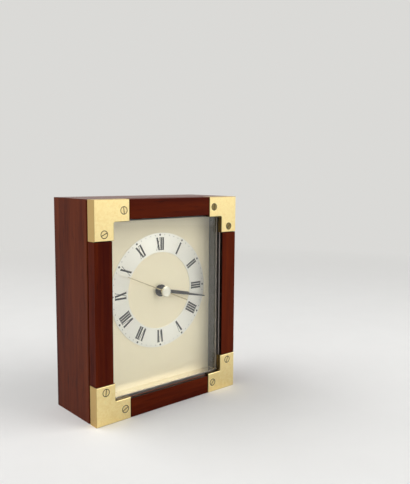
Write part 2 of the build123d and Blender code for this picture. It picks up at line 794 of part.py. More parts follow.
motion_front = hour_tier - pinion_margin
motion_length = motion_tier + wheel_thickness - motion_front
with BuildPart() as motion_wheel:
    motion_gear = gear_face(motion_tier, motion_place, motion_wheel_teeth, motion_module, motion_phase)
    extrude(motion_gear, amount=wheel_thickness, dir=backward)
    motion_pinion = gear_face(
        motion_front, motion_place, motion_pinion_teeth, hour_module, motion_pinion_phase
    )
    extrude(motion_pinion, amount=motion_tier - motion_front, dir=backward)
    motion_bore = round_faces(motion_front, motion_post_radius + running_gap, motion_place)
    extrude(motion_bore, amount=motion_length, dir=backward, mode=Mode.SUBTRACT)
write(motion_wheel, "motion_wheel")

# Going train, from the centre wheel back to the rotor
cannon_front = motion_tier - pinion_margin
third_pinion_front = centre_tier - pinion_margin
seconds_pinion_front = third_tier - pinion_margin
fifth_pinion_front = seconds_tier - pinion_margin
rotor_pinion_front = fifth_tier - pinion_margin
pivot_back = cover_front + pivot_depth
third_pinion_phase = mesh_phase(centre_wheel_teeth, 0, third_direction, third_pinion_teeth)
third_phase = mesh_phase(seconds_pinion_teeth, 0, third_direction, third_wheel_teeth)
fifth_pinion_phase = mesh_phase(seconds_wheel_teeth, 0, fifth_direction, fifth_pinion_teeth)
rotor_phase = mesh_phase(fifth_wheel_teeth, 0, rotor_direction, rotor_pinion_teeth)
setting_phase = mesh_phase(motion_wheel_teeth, motion_phase, setting_direction, setting_pinion_teeth)
with BuildPart() as centre_wheel:
    centre_gear = gear_face(centre_tier, hand_axis, centre_wheel_teeth, centre_module, 0)
    extrude(centre_gear, amount=wheel_thickness, dir=backward)
    cannon_pinion = gear_face(cannon_front, hand_axis, cannon_pinion_teeth, motion_module, 0)
    extrude(cannon_pinion, amount=pinion_length, dir=backward)
    minute_pipe = round_faces(minute_pipe_front, minute_pipe_radius, hand_axis)
    extrude(minute_pipe, amount=centre_tier - minute_pipe_front, dir=backward)
    centre_length = centre_tier + wheel_thickness - minute_pipe_front
    centre_bore = round_faces(minute_pipe_front, arbor_radius + running_gap, hand_axis)
    extrude(centre_bore, amount=centre_length, dir=backward, mode=Mode.SUBTRACT)
write(centre_wheel, "centre_wheel")

with BuildPart() as third_wheel:
    third_gear = gear_face(third_tier, third_place, third_wheel_teeth, third_module, third_phase)
    extrude(third_gear, amount=wheel_thickness, dir=backward)
    third_pinion = gear_face(
        third_pinion_front, third_place, third_pinion_teeth, centre_module, third_pinion_phase
    )
    extrude(third_pinion, amount=third_tier - third_pinion_front, dir=backward)
    third_arbor = round_faces(movement_front + seat_gap, arbor_radius, third_place)
    extrude(third_arbor, amount=plate_back - movement_front - seat_gap, dir=backward)
write(third_wheel, "third_wheel")

with BuildPart() as seconds_wheel:
    seconds_gear = gear_face(seconds_tier, hand_axis, seconds_wheel_teeth, seconds_module, 0)
    extrude(seconds_gear, amount=wheel_thickness, dir=backward)
    seconds_pinion = gear_face(seconds_pinion_front, hand_axis, seconds_pinion_teeth, third_module, 0)
    extrude(seconds_pinion, amount=pinion_length, dir=backward)
    seconds_arbor = round_faces(arbor_front, arbor_radius, hand_axis)
    extrude(seconds_arbor, amount=pivot_back - arbor_front - seat_gap, dir=backward)
write(seconds_wheel, "seconds_wheel")

with BuildPart() as fifth_wheel:
    fifth_gear = gear_face(fifth_tier, fifth_place, fifth_wheel_teeth, rotor_module, 0)
    extrude(fifth_gear, amount=wheel_thickness, dir=backward)
    fifth_pinion = gear_face(
        fifth_pinion_front, fifth_place, fifth_pinion_teeth, seconds_module, fifth_pinion_phase
    )
    extrude(fifth_pinion, amount=fifth_tier - fifth_pinion_front, dir=backward)
    fifth_arbor = round_faces(plate_front + seat_gap, arbor_radius, fifth_place)
    extrude(fifth_arbor, amount=pivot_back - plate_front - 2 * seat_gap, dir=backward)
write(fifth_wheel, "fifth_wheel")

# Stepping motor: rotor pinion and magnet, stator plate, core, bobbin and winding
with BuildPart() as rotor_pinion:
    rotor_gear = gear_face(rotor_pinion_front, rotor_place, rotor_pinion_teeth, rotor_module, rotor_phase)
    extrude(rotor_gear, amount=pinion_length, dir=backward)
    rotor_arbor = round_faces(plate_front + seat_gap, arbor_radius, rotor_place)
    extrude(rotor_arbor, amount=pivot_back - plate_front - 2 * seat_gap, dir=backward)
write(rotor_pinion, "rotor_pinion")

with BuildPart() as rotor_magnet:
    extrude(round_faces(magnet_tier, magnet_radius, rotor_place), amount=magnet_thickness, dir=backward)
    magnet_bore = round_faces(magnet_tier, arbor_radius + fit_gap, rotor_place)
    extrude(magnet_bore, amount=magnet_thickness, dir=backward, mode=Mode.SUBTRACT)
write(rotor_magnet, "rotor_magnet")

stator_bounds = (
    hand_axis[0] - stator_left_reach,
    hand_axis[0] + pillar_reach - pillar_width / 2 - clear_gap,
    rotor_place[1] - stator_reach,
    core_line + stator_leg_width / 2,
)
window_bounds = (
    stator_bounds[0] + stator_leg_width,
    stator_bounds[1] - stator_leg_width,
    rotor_place[1] + stator_reach,
    stator_bounds[3] + cut_overrun,
)
with BuildPart() as stator:
    extrude(rectangle_face(stator_front, *stator_bounds), amount=stator_thickness, dir=backward)
    stator_window = rectangle_face(stator_front, *window_bounds)
    extrude(stator_window, amount=stator_thickness, dir=backward, mode=Mode.SUBTRACT)
    stator_hole = round_faces(stator_front, stator_hole_radius, rotor_place)
    extrude(stator_hole, amount=stator_thickness, dir=backward, mode=Mode.SUBTRACT)
write(stator, "stator")

core_bounds = (stator_bounds[0], stator_bounds[1], core_line - core_width / 2, core_line + core_width / 2)
with BuildPart() as coil_core:
    extrude(rectangle_face(core_front, *core_bounds), amount=core_thickness, dir=backward)
write(coil_core, "coil_core")

sleeve_wall = (coil_radius - core_width / 2) / 3
sleeve_width = core_width + 2 * sleeve_wall
sleeve_thickness = core_thickness + 2 * sleeve_wall
coil_y = core_middle - clock_depth / 2
coil_plane = Plane.YZ.offset(window_bounds[0] + seat_gap)
coil_length = window_bounds[1] - window_bounds[0] - 2 * seat_gap
flange_planes = (coil_plane, coil_plane.offset(coil_length - coil_flange_thickness))
with BuildPart() as coil_bobbin:
    with BuildSketch(coil_plane) as sleeve_face:
        with Locations((coil_y, core_line)):
            Rectangle(sleeve_thickness, sleeve_width)
    extrude(sleeve_face.sketch, amount=coil_length)
    for flange_plane in flange_planes:
        with BuildSketch(flange_plane) as flange_face:
            with Locations((coil_y, core_line)):
                Rectangle(2 * coil_radius, 2 * coil_radius)
        extrude(flange_face.sketch, amount=coil_flange_thickness)
    with BuildSketch(coil_plane) as core_slot:
        with Locations((coil_y, core_line)):
            Rectangle(core_thickness + 2 * fit_gap, core_width + 2 * fit_gap)
    extrude(core_slot.sketch, amount=coil_length, mode=Mode.SUBTRACT)
write(coil_bobbin, "coil_bobbin")

with BuildPart() as coil_winding:
    with BuildSketch(coil_plane.offset(coil_flange_thickness)) as winding_face:
        with Locations((coil_y, core_line)):
            Circle(coil_radius - seat_gap)
            Rectangle(sleeve_thickness, sleeve_width, mode=Mode.SUBTRACT)
    extrude(winding_face.sketch, amount=coil_length - 2 * coil_flange_thickness)
write(coil_winding, "coil_winding")

# Train plate on the pillars, with pegs under the two ends of the coil core
stator_pegs = [
    (stator_bounds[0] + stator_leg_width / 2, core_line),
    (stator_bounds[1] - stator_leg_width / 2, core_line),
]
with BuildPart() as train_plate:
    plate_sides = (inner_left + seat_gap, inner_right - seat_gap)
    plate_levels = (train_bay_line + seat_gap, inner_top - seat_gap)
    plate_face = rectangle_face(plate_front, *plate_sides, *plate_levels)
    extrude(plate_face, amount=train_plate_thickness, dir=backward)
    extrude(square_faces(plate_back, peg_width, *stator_pegs), amount=core_front - plate_back, dir=backward)
    arbor_places = (hand_axis, third_place, fifth_place, rotor_place)
    pivot_holes = round_faces(plate_front, arbor_radius + running_gap, *arbor_places)
    extrude(pivot_holes, amount=train_plate_thickness, dir=backward, mode=Mode.SUBTRACT)
    plate_stem_hole = round_faces(plate_front, stem_radius + clear_gap, setting_place)
    extrude(plate_stem_hole, amount=train_plate_thickness, dir=backward, mode=Mode.SUBTRACT)
write(train_plate, "train_plate")

# Movement cover, open over the cell, with posts that clamp the train plate and hooks that snap into the tray
with BuildPart() as movement_cover:
    cover_face = rectangle_face(cover_front, *movement_bounds, movement_rounding)
    extrude(cover_face, amount=cover_thickness, dir=backward)
    cell_window = rectangle_face(cover_front, inner_left, inner_right, inner_bottom, cell_bay_line)
    extrude(cell_window, amount=cover_thickness, dir=backward, mode=Mode.SUBTRACT)
    cover_posts = square_faces(plate_back, pillar_width - 2 * seat_gap, *pillar_places)
    extrude(cover_posts, amount=cover_front - plate_back, dir=backward)
    for side in (-1, 1):
        hook_root = hand_axis[0] + side * (movement_half - hook_thickness)
        hook_inner = hand_axis[0] + side * (movement_half + hook_gap)
        hook_outer = hook_inner + side * hook_thickness
        nose_inner = hand_axis[0] + side * (movement_half - hook_nose_reach)
        root_face = rectangle_face(cover_front, *sorted((hook_root, hook_outer)), *hook_levels)
        extrude(root_face, amount=cover_thickness, dir=backward)
        arm_face = rectangle_face(nose_front, *sorted((hook_inner, hook_outer)), *hook_levels)
        extrude(arm_face, amount=hook_length, dir=backward)
        nose_face = rectangle_face(nose_front, *sorted((nose_inner, hook_outer)), *hook_levels)
        extrude(nose_face, amount=hook_nose_height, dir=backward)
    cover_pivots = round_faces(cover_front, arbor_radius + running_gap, hand_axis, fifth_place, rotor_place)
    extrude(cover_pivots, amount=pivot_depth, dir=backward, mode=Mode.SUBTRACT)
    cover_stem_hole = round_faces(cover_front, stem_radius + running_gap, setting_place)
    extrude(cover_stem_hole, amount=cover_thickness, dir=backward, mode=Mode.SUBTRACT)
write(movement_cover, "movement_cover")

# Circuit board with its chip and its crystal
board_face = rectangle_face(board_front, board_left, board_right, board_bottom, board_top)
with BuildPart() as circuit_board:
    extrude(board_face, amount=board_sheet, dir=backward)
write(circuit_board, "circuit_board")

board_rear = board_front + board_sheet
board_middle = (board_left + board_right) / 2
chip_place = (board_middle, board_bottom + chip_width)
with BuildPart() as driver_chip:
    extrude(square_faces(board_rear, chip_width, chip_place), amount=chip_height, dir=backward)
write(driver_chip, "driver_chip")

crystal_y = board_rear + crystal_radius - clock_depth / 2
crystal_top = board_top - crystal_radius
with BuildPart() as quartz_crystal:
    with BuildSketch(Plane.XY.offset(crystal_top - crystal_length)) as crystal_face:
        with Locations((board_middle, crystal_y)):
            Circle(crystal_radius)
    extrude(crystal_face.sketch, amount=crystal_length)
write(quartz_crystal, "quartz_crystal")

# Cell and its two contacts
cell_line = inner_bottom + cell_radius + cell_gap
cell_middle = floor_back + cell_gap + cell_radius
cell_y = cell_middle - clock_depth / 2
cell_start = hand_axis[0] - cell_length / 2
with BuildPart() as battery_cell:
    with BuildSketch(Plane.YZ.offset(cell_start)) as cell_face:
        with Locations((cell_y, cell_line)):
            Circle(cell_radius)
    extrude(cell_face.sketch, amount=cell_length - cell_tip_length)
    with BuildSketch(Plane.YZ.offset(cell_start + cell_length - cell_tip_length)) as tip_face:
        with Locations((cell_y, cell_line)):
            Circle(cell_tip_radius)
    extrude(tip_face.sketch, amount=cell_tip_length)
write(battery_cell, "battery_cell")

for contact_name, side in (("contact_negative", -1), ("contact_positive", 1)):
    wall_x = hand_axis[0] + side * inner_half
    sheet_x = wall_x - side * contact_sheet
    cell_end = hand_axis[0] + side * cell_length / 2
    sheet_span = sorted((wall_x, sheet_x))
    leaf_span = sorted((sheet_x, cell_end))
    sheet_levels = (cell_line - contact_width / 2, cell_line + contact_width / 2)
    leaf_levels = (cell_line - contact_leaf_width / 2, cell_line + contact_leaf_width / 2)
    with BuildPart() as contact:
        sheet_face = rectangle_face(cell_middle - contact_width / 2, *sheet_span, *sheet_levels)
        extrude(sheet_face, amount=contact_width, dir=backward)
        leaf_face = rectangle_face(cell_middle - contact_leaf_width / 2, *leaf_span, *leaf_levels)
        extrude(leaf_face, amount=contact_leaf_width, dir=backward)
    write(contact, contact_name)

# Recessed back cover with a stepped window for the battery door
back_half_width = cavity_width / 2 - seat_gap
back_half_height = cavity_height / 2 - seat_gap
back_bounds = (
    -back_half_width,
    back_half_width,
    clock_middle - back_half_height,
    clock_middle + back_half_height,
)
rim_width = cavity_width - 2 * (seat_gap + back_rim_width)
rim_height = cavity_height - 2 * (seat_gap + back_rim_width)
door_left = inner_left - door_margin
door_right = inner_right + door_margin
door_bottom = inner_bottom - door_margin
door_top = cell_bay_line + door_margin
door_front = back_cover_front + door_ledge_depth
with BuildPart() as back_cover:
    extrude(rectangle_face(back_cover_front, *back_bounds), amount=back_cover_thickness, dir=backward)
    rim_face = frame_face(back_cover_back, 2 * back_half_width, 2 * back_half_height, rim_width, rim_height)
    extrude(rim_face, amount=back_rim_height, dir=backward)
    door_seat = rectangle_face(door_front, door_left, door_right, door_bottom, door_top)
    extrude(door_seat, amount=back_cover_thickness, dir=backward, mode=Mode.SUBTRACT)
    window_sides = (door_left + door_ledge, door_right - door_ledge)
    window_levels = (door_bottom + door_ledge, door_top - door_ledge)
    door_window = rectangle_face(back_cover_front, *window_sides, *window_levels)
    extrude(door_window, amount=back_cover_thickness, dir=backward, mode=Mode.SUBTRACT)
    back_stem_hole = round_faces(back_cover_front, stem_radius + clear_gap, setting_place)
    extrude(back_stem_hole, amount=back_cover_thickness, dir=backward, mode=Mode.SUBTRACT)
    back_hole_radius = wood_screw_radius + seat_gap
    back_screw_holes = sided_faces(back_cover_front, back_hole_radius, screw_shank_sides, *block_places)
    extrude(back_screw_holes, amount=back_cover_thickness, dir=backward, mode=Mode.SUBTRACT)
write(back_cover, "back_cover")

back_screw_front = back_cover_back - back_screw_length
with BuildPart() as back_cover_screws:
    back_shanks = sided_faces(back_screw_front, wood_screw_radius, screw_shank_sides, *block_places)
    extrude(back_shanks, amount=back_screw_length, dir=backward)
    back_heads = sided_faces(back_cover_back, wood_screw_head_radius, screw_head_sides, *block_places)
    extrude(back_heads, amount=wood_screw_head_depth, dir=backward)
write(back_cover_screws, "back_cover_screws")

# Battery door: a lid on the ledge, with grip ribs
rib_line = (door_bottom + door_top) / 2
with BuildPart() as battery_door:
    lid_sides = (door_left + door_gap, door_right - door_gap)
    lid_levels = (door_bottom + door_gap, door_top - door_gap)
    lid_face = rectangle_face(door_front, *lid_sides, *lid_levels)
    extrude(lid_face, amount=back_cover_back - door_front, dir=backward)
    with BuildSketch(at(back_cover_back)) as rib_faces:
        with Locations((hand_axis[0], rib_line)):
            with GridLocations(door_rib_spacing, 0, door_rib_count, 1):
                Rectangle(door_rib_width, door_rib_length)
    extrude(rib_faces.sketch, amount=door_rib_height, dir=backward)
write(battery_door, "battery_door")

# Setting stem with its pinion, and the fluted knob on its end
stem_front = motion_tier - pinion_margin
with BuildPart() as set_stem:
    setting_gear = gear_face(stem_front, setting_place, setting_pinion_teeth, motion_module, setting_phase)
    extrude(setting_gear, amount=pinion_length, dir=backward)
    stem_pivot = round_faces(movement_front + seat_gap, stem_pivot_radius, setting_place)
    extrude(stem_pivot, amount=stem_front - movement_front - seat_gap, dir=backward)
    stem_shaft = round_faces(stem_front, stem_radius, setting_place)
    extrude(stem_shaft, amount=knob_back - cut_overrun - stem_front, dir=backward)
write(set_stem, "set_stem")

flute_angle = 360 / knob_flutes
flute_points = []
for flute in range(knob_flutes):
    flute_points.append(polar((0, 0), knob_radius, flute * flute_angle))
    flute_points.append(polar((0, 0), knob_radius - knob_flute_depth, (flute + 1 / 2) * flute_angle))
with BuildPart() as set_knob:
    with BuildSketch(at(knob_front)) as knob_face:
        with Locations(setting_place):
            Polygon(*flute_points, align=None)
    extrude(knob_face.sketch, amount=knob_length, dir=backward)
    chamfer(set_knob.faces().sort_by(Axis.Y)[-1].edges(), knob_rounding)
    knob_bore = round_faces(knob_front, stem_radius + fit_gap, setting_place)
    extrude(knob_bore, amount=knob_length - cut_overrun, dir=backward, mode=Mode.SUBTRACT)
write(set_knob, "set_knob")
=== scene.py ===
"""Dresses the wooden desk clock: finishes, dial print, light, floor and camera, in metres."""
import logging
import math
from dataclasses import dataclass, field
from enum import Enum

import bmesh
import bpy
from mathutils import Matrix, Vector


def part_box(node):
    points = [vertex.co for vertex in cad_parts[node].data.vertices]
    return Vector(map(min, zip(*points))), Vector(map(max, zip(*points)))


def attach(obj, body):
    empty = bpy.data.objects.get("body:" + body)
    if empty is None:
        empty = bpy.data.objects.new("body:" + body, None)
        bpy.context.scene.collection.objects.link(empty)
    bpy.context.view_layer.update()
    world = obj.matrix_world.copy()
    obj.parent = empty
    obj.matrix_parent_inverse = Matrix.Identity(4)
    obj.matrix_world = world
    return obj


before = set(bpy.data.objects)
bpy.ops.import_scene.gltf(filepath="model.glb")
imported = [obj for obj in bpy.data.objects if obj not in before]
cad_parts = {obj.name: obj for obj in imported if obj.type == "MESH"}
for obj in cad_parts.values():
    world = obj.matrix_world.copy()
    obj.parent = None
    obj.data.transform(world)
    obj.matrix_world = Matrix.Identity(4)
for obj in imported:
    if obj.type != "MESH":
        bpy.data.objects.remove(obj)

log = logging.getLogger("desk_clock")

Triple = tuple[float, float, float]
Colour = Triple
Pair = tuple[float, float]
Outline = list[Pair]
Node = bpy.types.Node
Socket = bpy.types.NodeSocket
Inputs = dict[str | int, object]
Work = bmesh.types.BMesh
Corners = list[bmesh.types.BMVert]

MM = 0.001
MINUTES = 60
MINUTES_BETWEEN_HOURS = 5
MINUTE_ANGLE = 6.0
HOUR_ANGLE = 30.0

# Widths over which one finish gives way to the next
FADE = 0.2 * MM
EDGE = 0.3 * MM

COAT_ROUGHNESS = 0.12
# Radians that Blender's wave bands run through in one unit, at a scale of 1
WAVE_PHASE = 20.0
# Tone of the far paper and of the world where they are seen
BACKDROP: Colour = (0.705, 0.70, 0.68)


class Grain(Enum):
    """Which way the wood's fibres run, as stretches of the pattern along X, Y and Z."""

    UPRIGHT = (46.0, 46.0, 2.6)
    LEVEL = (2.6, 46.0, 46.0)


class Effect(Enum):
    """Names of the shared shader groups."""

    GRAIN = "wood_grain"
    BRUSH = "fine_brush"
    STAIN = "stain_clouds"


@dataclass(frozen=True)
class Wiring:
    """Adds and joins the nodes of one material, group or world."""

    tree: bpy.types.NodeTree

    def add(self, kind: str, inputs: Inputs | None = None, **settings: object) -> Node:
        """Adds a node, sets its plain settings and feeds its inputs.

        Args:
            kind: Node type name, such as ShaderNodeMath.
            inputs: What goes into each input, by its name or number.
            settings: Attributes to set on the node.

        Returns:
            The new node.
        """
        node = self.tree.nodes.new(kind)
        for name, value in settings.items():
            setattr(node, name, value)
        for key, value in (inputs or {}).items():
            self.feed(node.inputs[key], value)
        return node

    def feed(self, socket: Socket, value: object) -> None:
        """Joins a socket to another, or sets its plain value.

        Args:
            socket: Input socket.
            value: Output socket, number or colour.
        """
        if isinstance(value, Socket):
            self.tree.links.new(value, socket)
        elif isinstance(value, tuple) and len(value) == 3 and socket.type == "RGBA":
            socket.default_value = (*value, 1.0)
        else:
            socket.default_value = value

    def place(self, stretch: float | Triple = 1.0) -> Socket:
        """Gives the piece's own coordinates, stretched along each axis.

        Args:
            stretch: Pattern repeats per metre, one number or X, Y and Z.

        Returns:
            A vector socket.
        """
        own = self.add("ShaderNodeTexCoord").outputs["Object"]
        scale = stretch if isinstance(stretch, tuple) else (stretch,) * 3
        return self.add("ShaderNodeMapping", {"Vector": own, "Scale": scale}).outputs["Vector"]

    def spot(self) -> dict[str, Socket]:
        """Gives the piece's own X, Y and Z as value sockets, in metres."""
        parts = self.add("ShaderNodeSeparateXYZ", {0: self.place()})
        return {axis: parts.outputs[axis] for axis in "XYZ"}

    def noise(self, vector: Socket, scale: float, detail: float, twist: float = 0.0) -> Socket:
        """Adds noise from 0 to 1, by its repeats per unit, octaves and distortion."""
        inputs = {"Vector": vector, "Scale": scale, "Detail": detail, "Distortion": twist}
        return self.add("ShaderNodeTexNoise", inputs).outputs[0]

    def remap(
        self, value: Socket, low: float, high: float, to_low: float = 0.0, to_high: float = 1.0
    ) -> Socket:
        """Maps a value from one range to another, clamped.

        Args:
            value: Value socket.
            low: Start of the range that comes in.
            high: End of the range that comes in.
            to_low: Start of the range that goes out.
            to_high: End of the range that goes out.

        Returns:
            A value socket.
        """
        inputs = {"Value": value, "From Min": low, "From Max": high,
                  "To Min": to_low, "To Max": to_high}
        return self.add("ShaderNodeMapRange", inputs).outputs["Result"]

    def math(self, operation: str, first: object, second: object) -> Socket:
        """Adds one sum of two numbers or sockets, by Blender's name of it."""
        return self.add("ShaderNodeMath", {0: first, 1: second}, operation=operation).outputs[0]

    def scaled(self, value: Socket, share: float) -> Socket:
        """Gives a share of a value."""
        return self.math("MULTIPLY", value, share)

    def blend(self, mask: object, first: object, second: object) -> Socket:
        """Mixes two colours or sockets by a mask, 0 for the first."""
        inputs = {0: mask, 6: first, 7: second}
        return self.add("ShaderNodeMix", inputs, data_type="RGBA").outputs[2]

    def bump(self, height: Socket, strength: float, distance: float) -> Socket:
        """Turns a height into a normal, by a share and the metres of a value of 1."""
        inputs = {"Strength": strength, "Distance": distance, "Height": height}
        return self.add("ShaderNodeBump", inputs).outputs["Normal"]

    def group(self, effect: Effect, vector: Socket) -> dict[str, Socket]:
        """Places a shared effect on given coordinates.

        Args:
            effect: Which effect.
            vector: Coordinates for it.

        Returns:
            The effect's masks and heights by name.
        """
        node = self.add("ShaderNodeGroup", node_tree=SharedEffects.tree(effect))
        self.feed(node.inputs["Vector"], vector)
        return {socket.name: socket for socket in node.outputs}

    def seen(self) -> Socket:
        """Marks rays that show the background, straight, through glass or mirrored.

        Returns:
            A value socket, 1 for such rays.
        """
        path = self.add("ShaderNodeLightPath")
        rays = [path.outputs[f"Is {kind} Ray"] for kind in ("Camera", "Transmission", "Glossy")]
        return self.math("MAXIMUM", self.math("MAXIMUM", rays[0], rays[1]), rays[2])

    def switch(self, mask: Socket, first: Socket, second: Socket, output: str) -> None:
        """Sends one of two shaders to an output node, the first where the mask is 0."""
        node = self.add("ShaderNodeMixShader", {0: mask, 1: first, 2: second})
        self.feed(self.tree.nodes[output].inputs["Surface"], node.outputs["Shader"])


class MaterialWiring(Wiring):
    """Wiring of one material, about its Principled BSDF."""

    @property
    def shader(self) -> Node:
        """The material's Principled BSDF."""
        return self.tree.nodes["Principled BSDF"]

    def set(self, name: str, value: object) -> None:
        """Feeds an input of the shader, or sets its plain value."""
        self.feed(self.shader.inputs[name], value)

    def cover(self, mask: Socket, colour: object) -> None:
        """Lays a colour over the base colour already joined, where the mask is 1."""
        under = self.shader.inputs["Base Color"].links[0].from_socket
        self.set("Base Color", self.blend(mask, under, colour))


class SharedEffects:
    """The effects that several finishes use, each a shader group built once."""

    @classmethod
    def tree(cls, effect: Effect) -> bpy.types.NodeTree:
        """Gives an effect's group, and builds it at its first use.

        Args:
            effect: Which effect.

        Returns:
            The group's node tree.
        """
        known = bpy.data.node_groups.get(effect.value)
        if known:
            return known
        tree = bpy.data.node_groups.new(effect.value, "ShaderNodeTree")
        tree.interface.new_socket(name="Vector", in_out="INPUT", socket_type="NodeSocketVector")
        wiring = Wiring(tree)
        vector = wiring.add("NodeGroupInput").outputs["Vector"]
        makers = {Effect.GRAIN: cls._grain, Effect.BRUSH: cls._brush, Effect.STAIN: cls._stain}
        results = makers[effect](wiring, vector)
        for name in results:
            tree.interface.new_socket(name=name, in_out="OUTPUT", socket_type="NodeSocketFloat")
        wiring.add("NodeGroupOutput", results)
        return tree

    @staticmethod
    def _grain(wiring: Wiring, vector: Socket) -> dict[str, Socket]:
        """Wires broad figure, narrow streaks and pores of wood.

        Args:
            wiring: The group's wiring.
            vector: Coordinates, stretched along the fibres.

        Returns:
            The outputs by name.
        """
        broad = wiring.noise(vector, scale=1.0, detail=3.0, twist=1.4)
        streak = wiring.noise(vector, scale=5.5, detail=4.0, twist=0.6)
        pores = wiring.noise(vector, scale=26.0, detail=2.0, twist=0.2)
        figure = wiring.math("ADD", wiring.scaled(broad, 0.6), wiring.scaled(streak, 0.4))
        pore_mask = wiring.remap(pores, low=0.60, high=0.74)
        height = wiring.math("SUBTRACT", wiring.scaled(streak, 0.3), pore_mask)
        figure_mask = wiring.remap(figure, low=0.34, high=0.66)
        return {"Figure": figure_mask, "Pores": pore_mask, "Height": height}

    @staticmethod
    def _brush(wiring: Wiring, vector: Socket) -> dict[str, Socket]:
        """Wires fine parallel lines.

        Args:
            wiring: The group's wiring.
            vector: Coordinates, stretched along the lines.

        Returns:
            The outputs by name.
        """
        coarse = wiring.noise(vector, scale=1.0, detail=3.0)
        fine = wiring.noise(vector, scale=4.3, detail=2.0)
        lines = wiring.math("ADD", wiring.scaled(coarse, 0.5), wiring.scaled(fine, 0.5))
        return {"Lines": wiring.remap(lines, low=0.3, high=0.7), "Height": fine}

    @staticmethod
    def _stain(wiring: Wiring, vector: Socket) -> dict[str, Socket]:
        """Wires soft clouds with a fine speckle.

        Args:
            wiring: The group's wiring.
            vector: Coordinates.

        Returns:
            The outputs by name.
        """
        clouds = wiring.noise(vector, scale=1.0, detail=5.0, twist=0.8)
        speck = wiring.noise(vector, scale=14.0, detail=2.0)
        return {"Clouds": wiring.remap(clouds, low=0.35, high=0.7), "Speck": speck}


@dataclass(frozen=True)
class Finish:
    """A finish: its name, its roughness at both ends of its pattern, and its fine relief."""

    name: str
    rough: Pair = (0.3, 0.4)
    relief: float = 0.15
    depth: float = 0.03 * MM

    def material(self) -> bpy.types.Material:
        """Gives the material, and builds it at its first use.

        Returns:
            The material.
        """
        title = f"{self.name}_finish"
        known = bpy.data.materials.get(title)
        if known:
            return known
        material = bpy.data.materials.new(title)
        material.use_nodes = True
        self.wire(MaterialWiring(material.node_tree))
        return material

    def wire(self, wiring: MaterialWiring) -> None:
        """Wires the finish into its material."""
        raise NotImplementedError

    def surface(
        self, wiring: MaterialWiring, pattern: Socket, height: Socket | None = None
    ) -> None:
        """Wires roughness that follows a pattern, and the relief of a height.

        Args:
            wiring: The material's wiring.
            pattern: Value socket from 0 to 1.
            height: Value socket, where there is a relief.
        """
        wiring.set("Roughness", wiring.remap(pattern, 0.0, 1.0, *self.rough))
        if height:
            bumps = wiring.bump(height, self.relief, self.depth)
            wiring.set("Normal", bumps)


@dataclass(frozen=True)
class Opening:
    """Edges of the frame's opening, and the depth where the strip on its walls begins."""

    left: float
    right: float
    low: float
    high: float
    strip_front: float


@dataclass(frozen=True)
class LacqueredWood(Finish):
    """Red-brown mahogany under semi-gloss lacquer."""

    rough: Pair = (0.47, 0.38)
    relief: float = 0.25
    depth: float = 0.04 * MM
    grain: Grain = Grain.UPRIGHT
    dark: Colour = (0.056, 0.0060, 0.0018)
    light: Colour = (0.146, 0.0260, 0.0054)
    pore: Colour = (0.014, 0.0022, 0.0012)
    pore_share: float = 0.65
    shine: float = 0.03
    coat: float = 0.12
    opening: Opening | None = None
    # Colour of the opening's walls in front of the strip, near black
    near_black: Colour = (0.006, 0.0008, 0.0006)
    strip: Colour = (0.42, 0.36, 0.34)

    def wire(self, wiring: MaterialWiring) -> None:
        """Wires figure, pores, a lacquer coat and dark walls of an opening.

        Args:
            wiring: The material's wiring.
        """
        grain = wiring.group(Effect.GRAIN, wiring.place(self.grain.value))
        wood = wiring.blend(grain["Figure"], self.dark, self.light)
        wood = wiring.blend(wiring.scaled(grain["Pores"], self.pore_share), wood, self.pore)
        wiring.set("Base Color", wood)
        if self.opening:
            spot, start = wiring.spot(), self.opening.strip_front
            sealed = wiring.remap(spot["Y"], start, start + FADE)
            # The walls of the opening are coloured near black in front of the strip
            walls = wiring.blend(sealed, self.near_black, self.strip)
            wiring.cover(self._wall_mask(wiring, spot), walls)
        self.surface(wiring, grain["Figure"], grain["Height"])
        wiring.set("Specular IOR Level", self.shine)
        wiring.set("Coat Weight", self.coat)
        wiring.set("Coat Roughness", COAT_ROUGHNESS)

    def _wall_mask(self, wiring: Wiring, spot: dict[str, Socket]) -> Socket:
        """Marks the walls of the opening, which are coloured near black.

        Args:
            wiring: The material's wiring.
            spot: The place's X, Y and Z.

        Returns:
            A value socket, 1 on the walls.
        """
        hole = self.opening
        mask = None
        for axis, start, end in (("X", hole.left, hole.right), ("Z", hole.low, hole.high)):
            for edge, outward in ((start, -EDGE), (end, EDGE)):
                within = wiring.remap(spot[axis], edge, edge + outward, 1.0, 0.0)
                mask = wiring.math("MULTIPLY", mask, within) if mask else within
        return mask


@dataclass(frozen=True)
class RawWood(Finish):
    """Sawn softwood or pressed board, without lacquer."""

    rough: Pair = (0.7, 0.9)
    relief: float = 0.5
    depth: float = 0.1 * MM
    dark: Colour = (0.30, 0.17, 0.08)
    light: Colour = (0.52, 0.34, 0.18)
    stretch: float | Triple = (80.0, 8.0, 80.0)

    def wire(self, wiring: MaterialWiring) -> None:
        """Wires dry grain.

        Args:
            wiring: The material's wiring.
        """
        grain = wiring.group(Effect.GRAIN, wiring.place(self.stretch))
        wood = wiring.blend(grain["Figure"], self.dark, self.light)
        wiring.set("Base Color", wood)
        self.surface(wiring, grain["Pores"], grain["Height"])


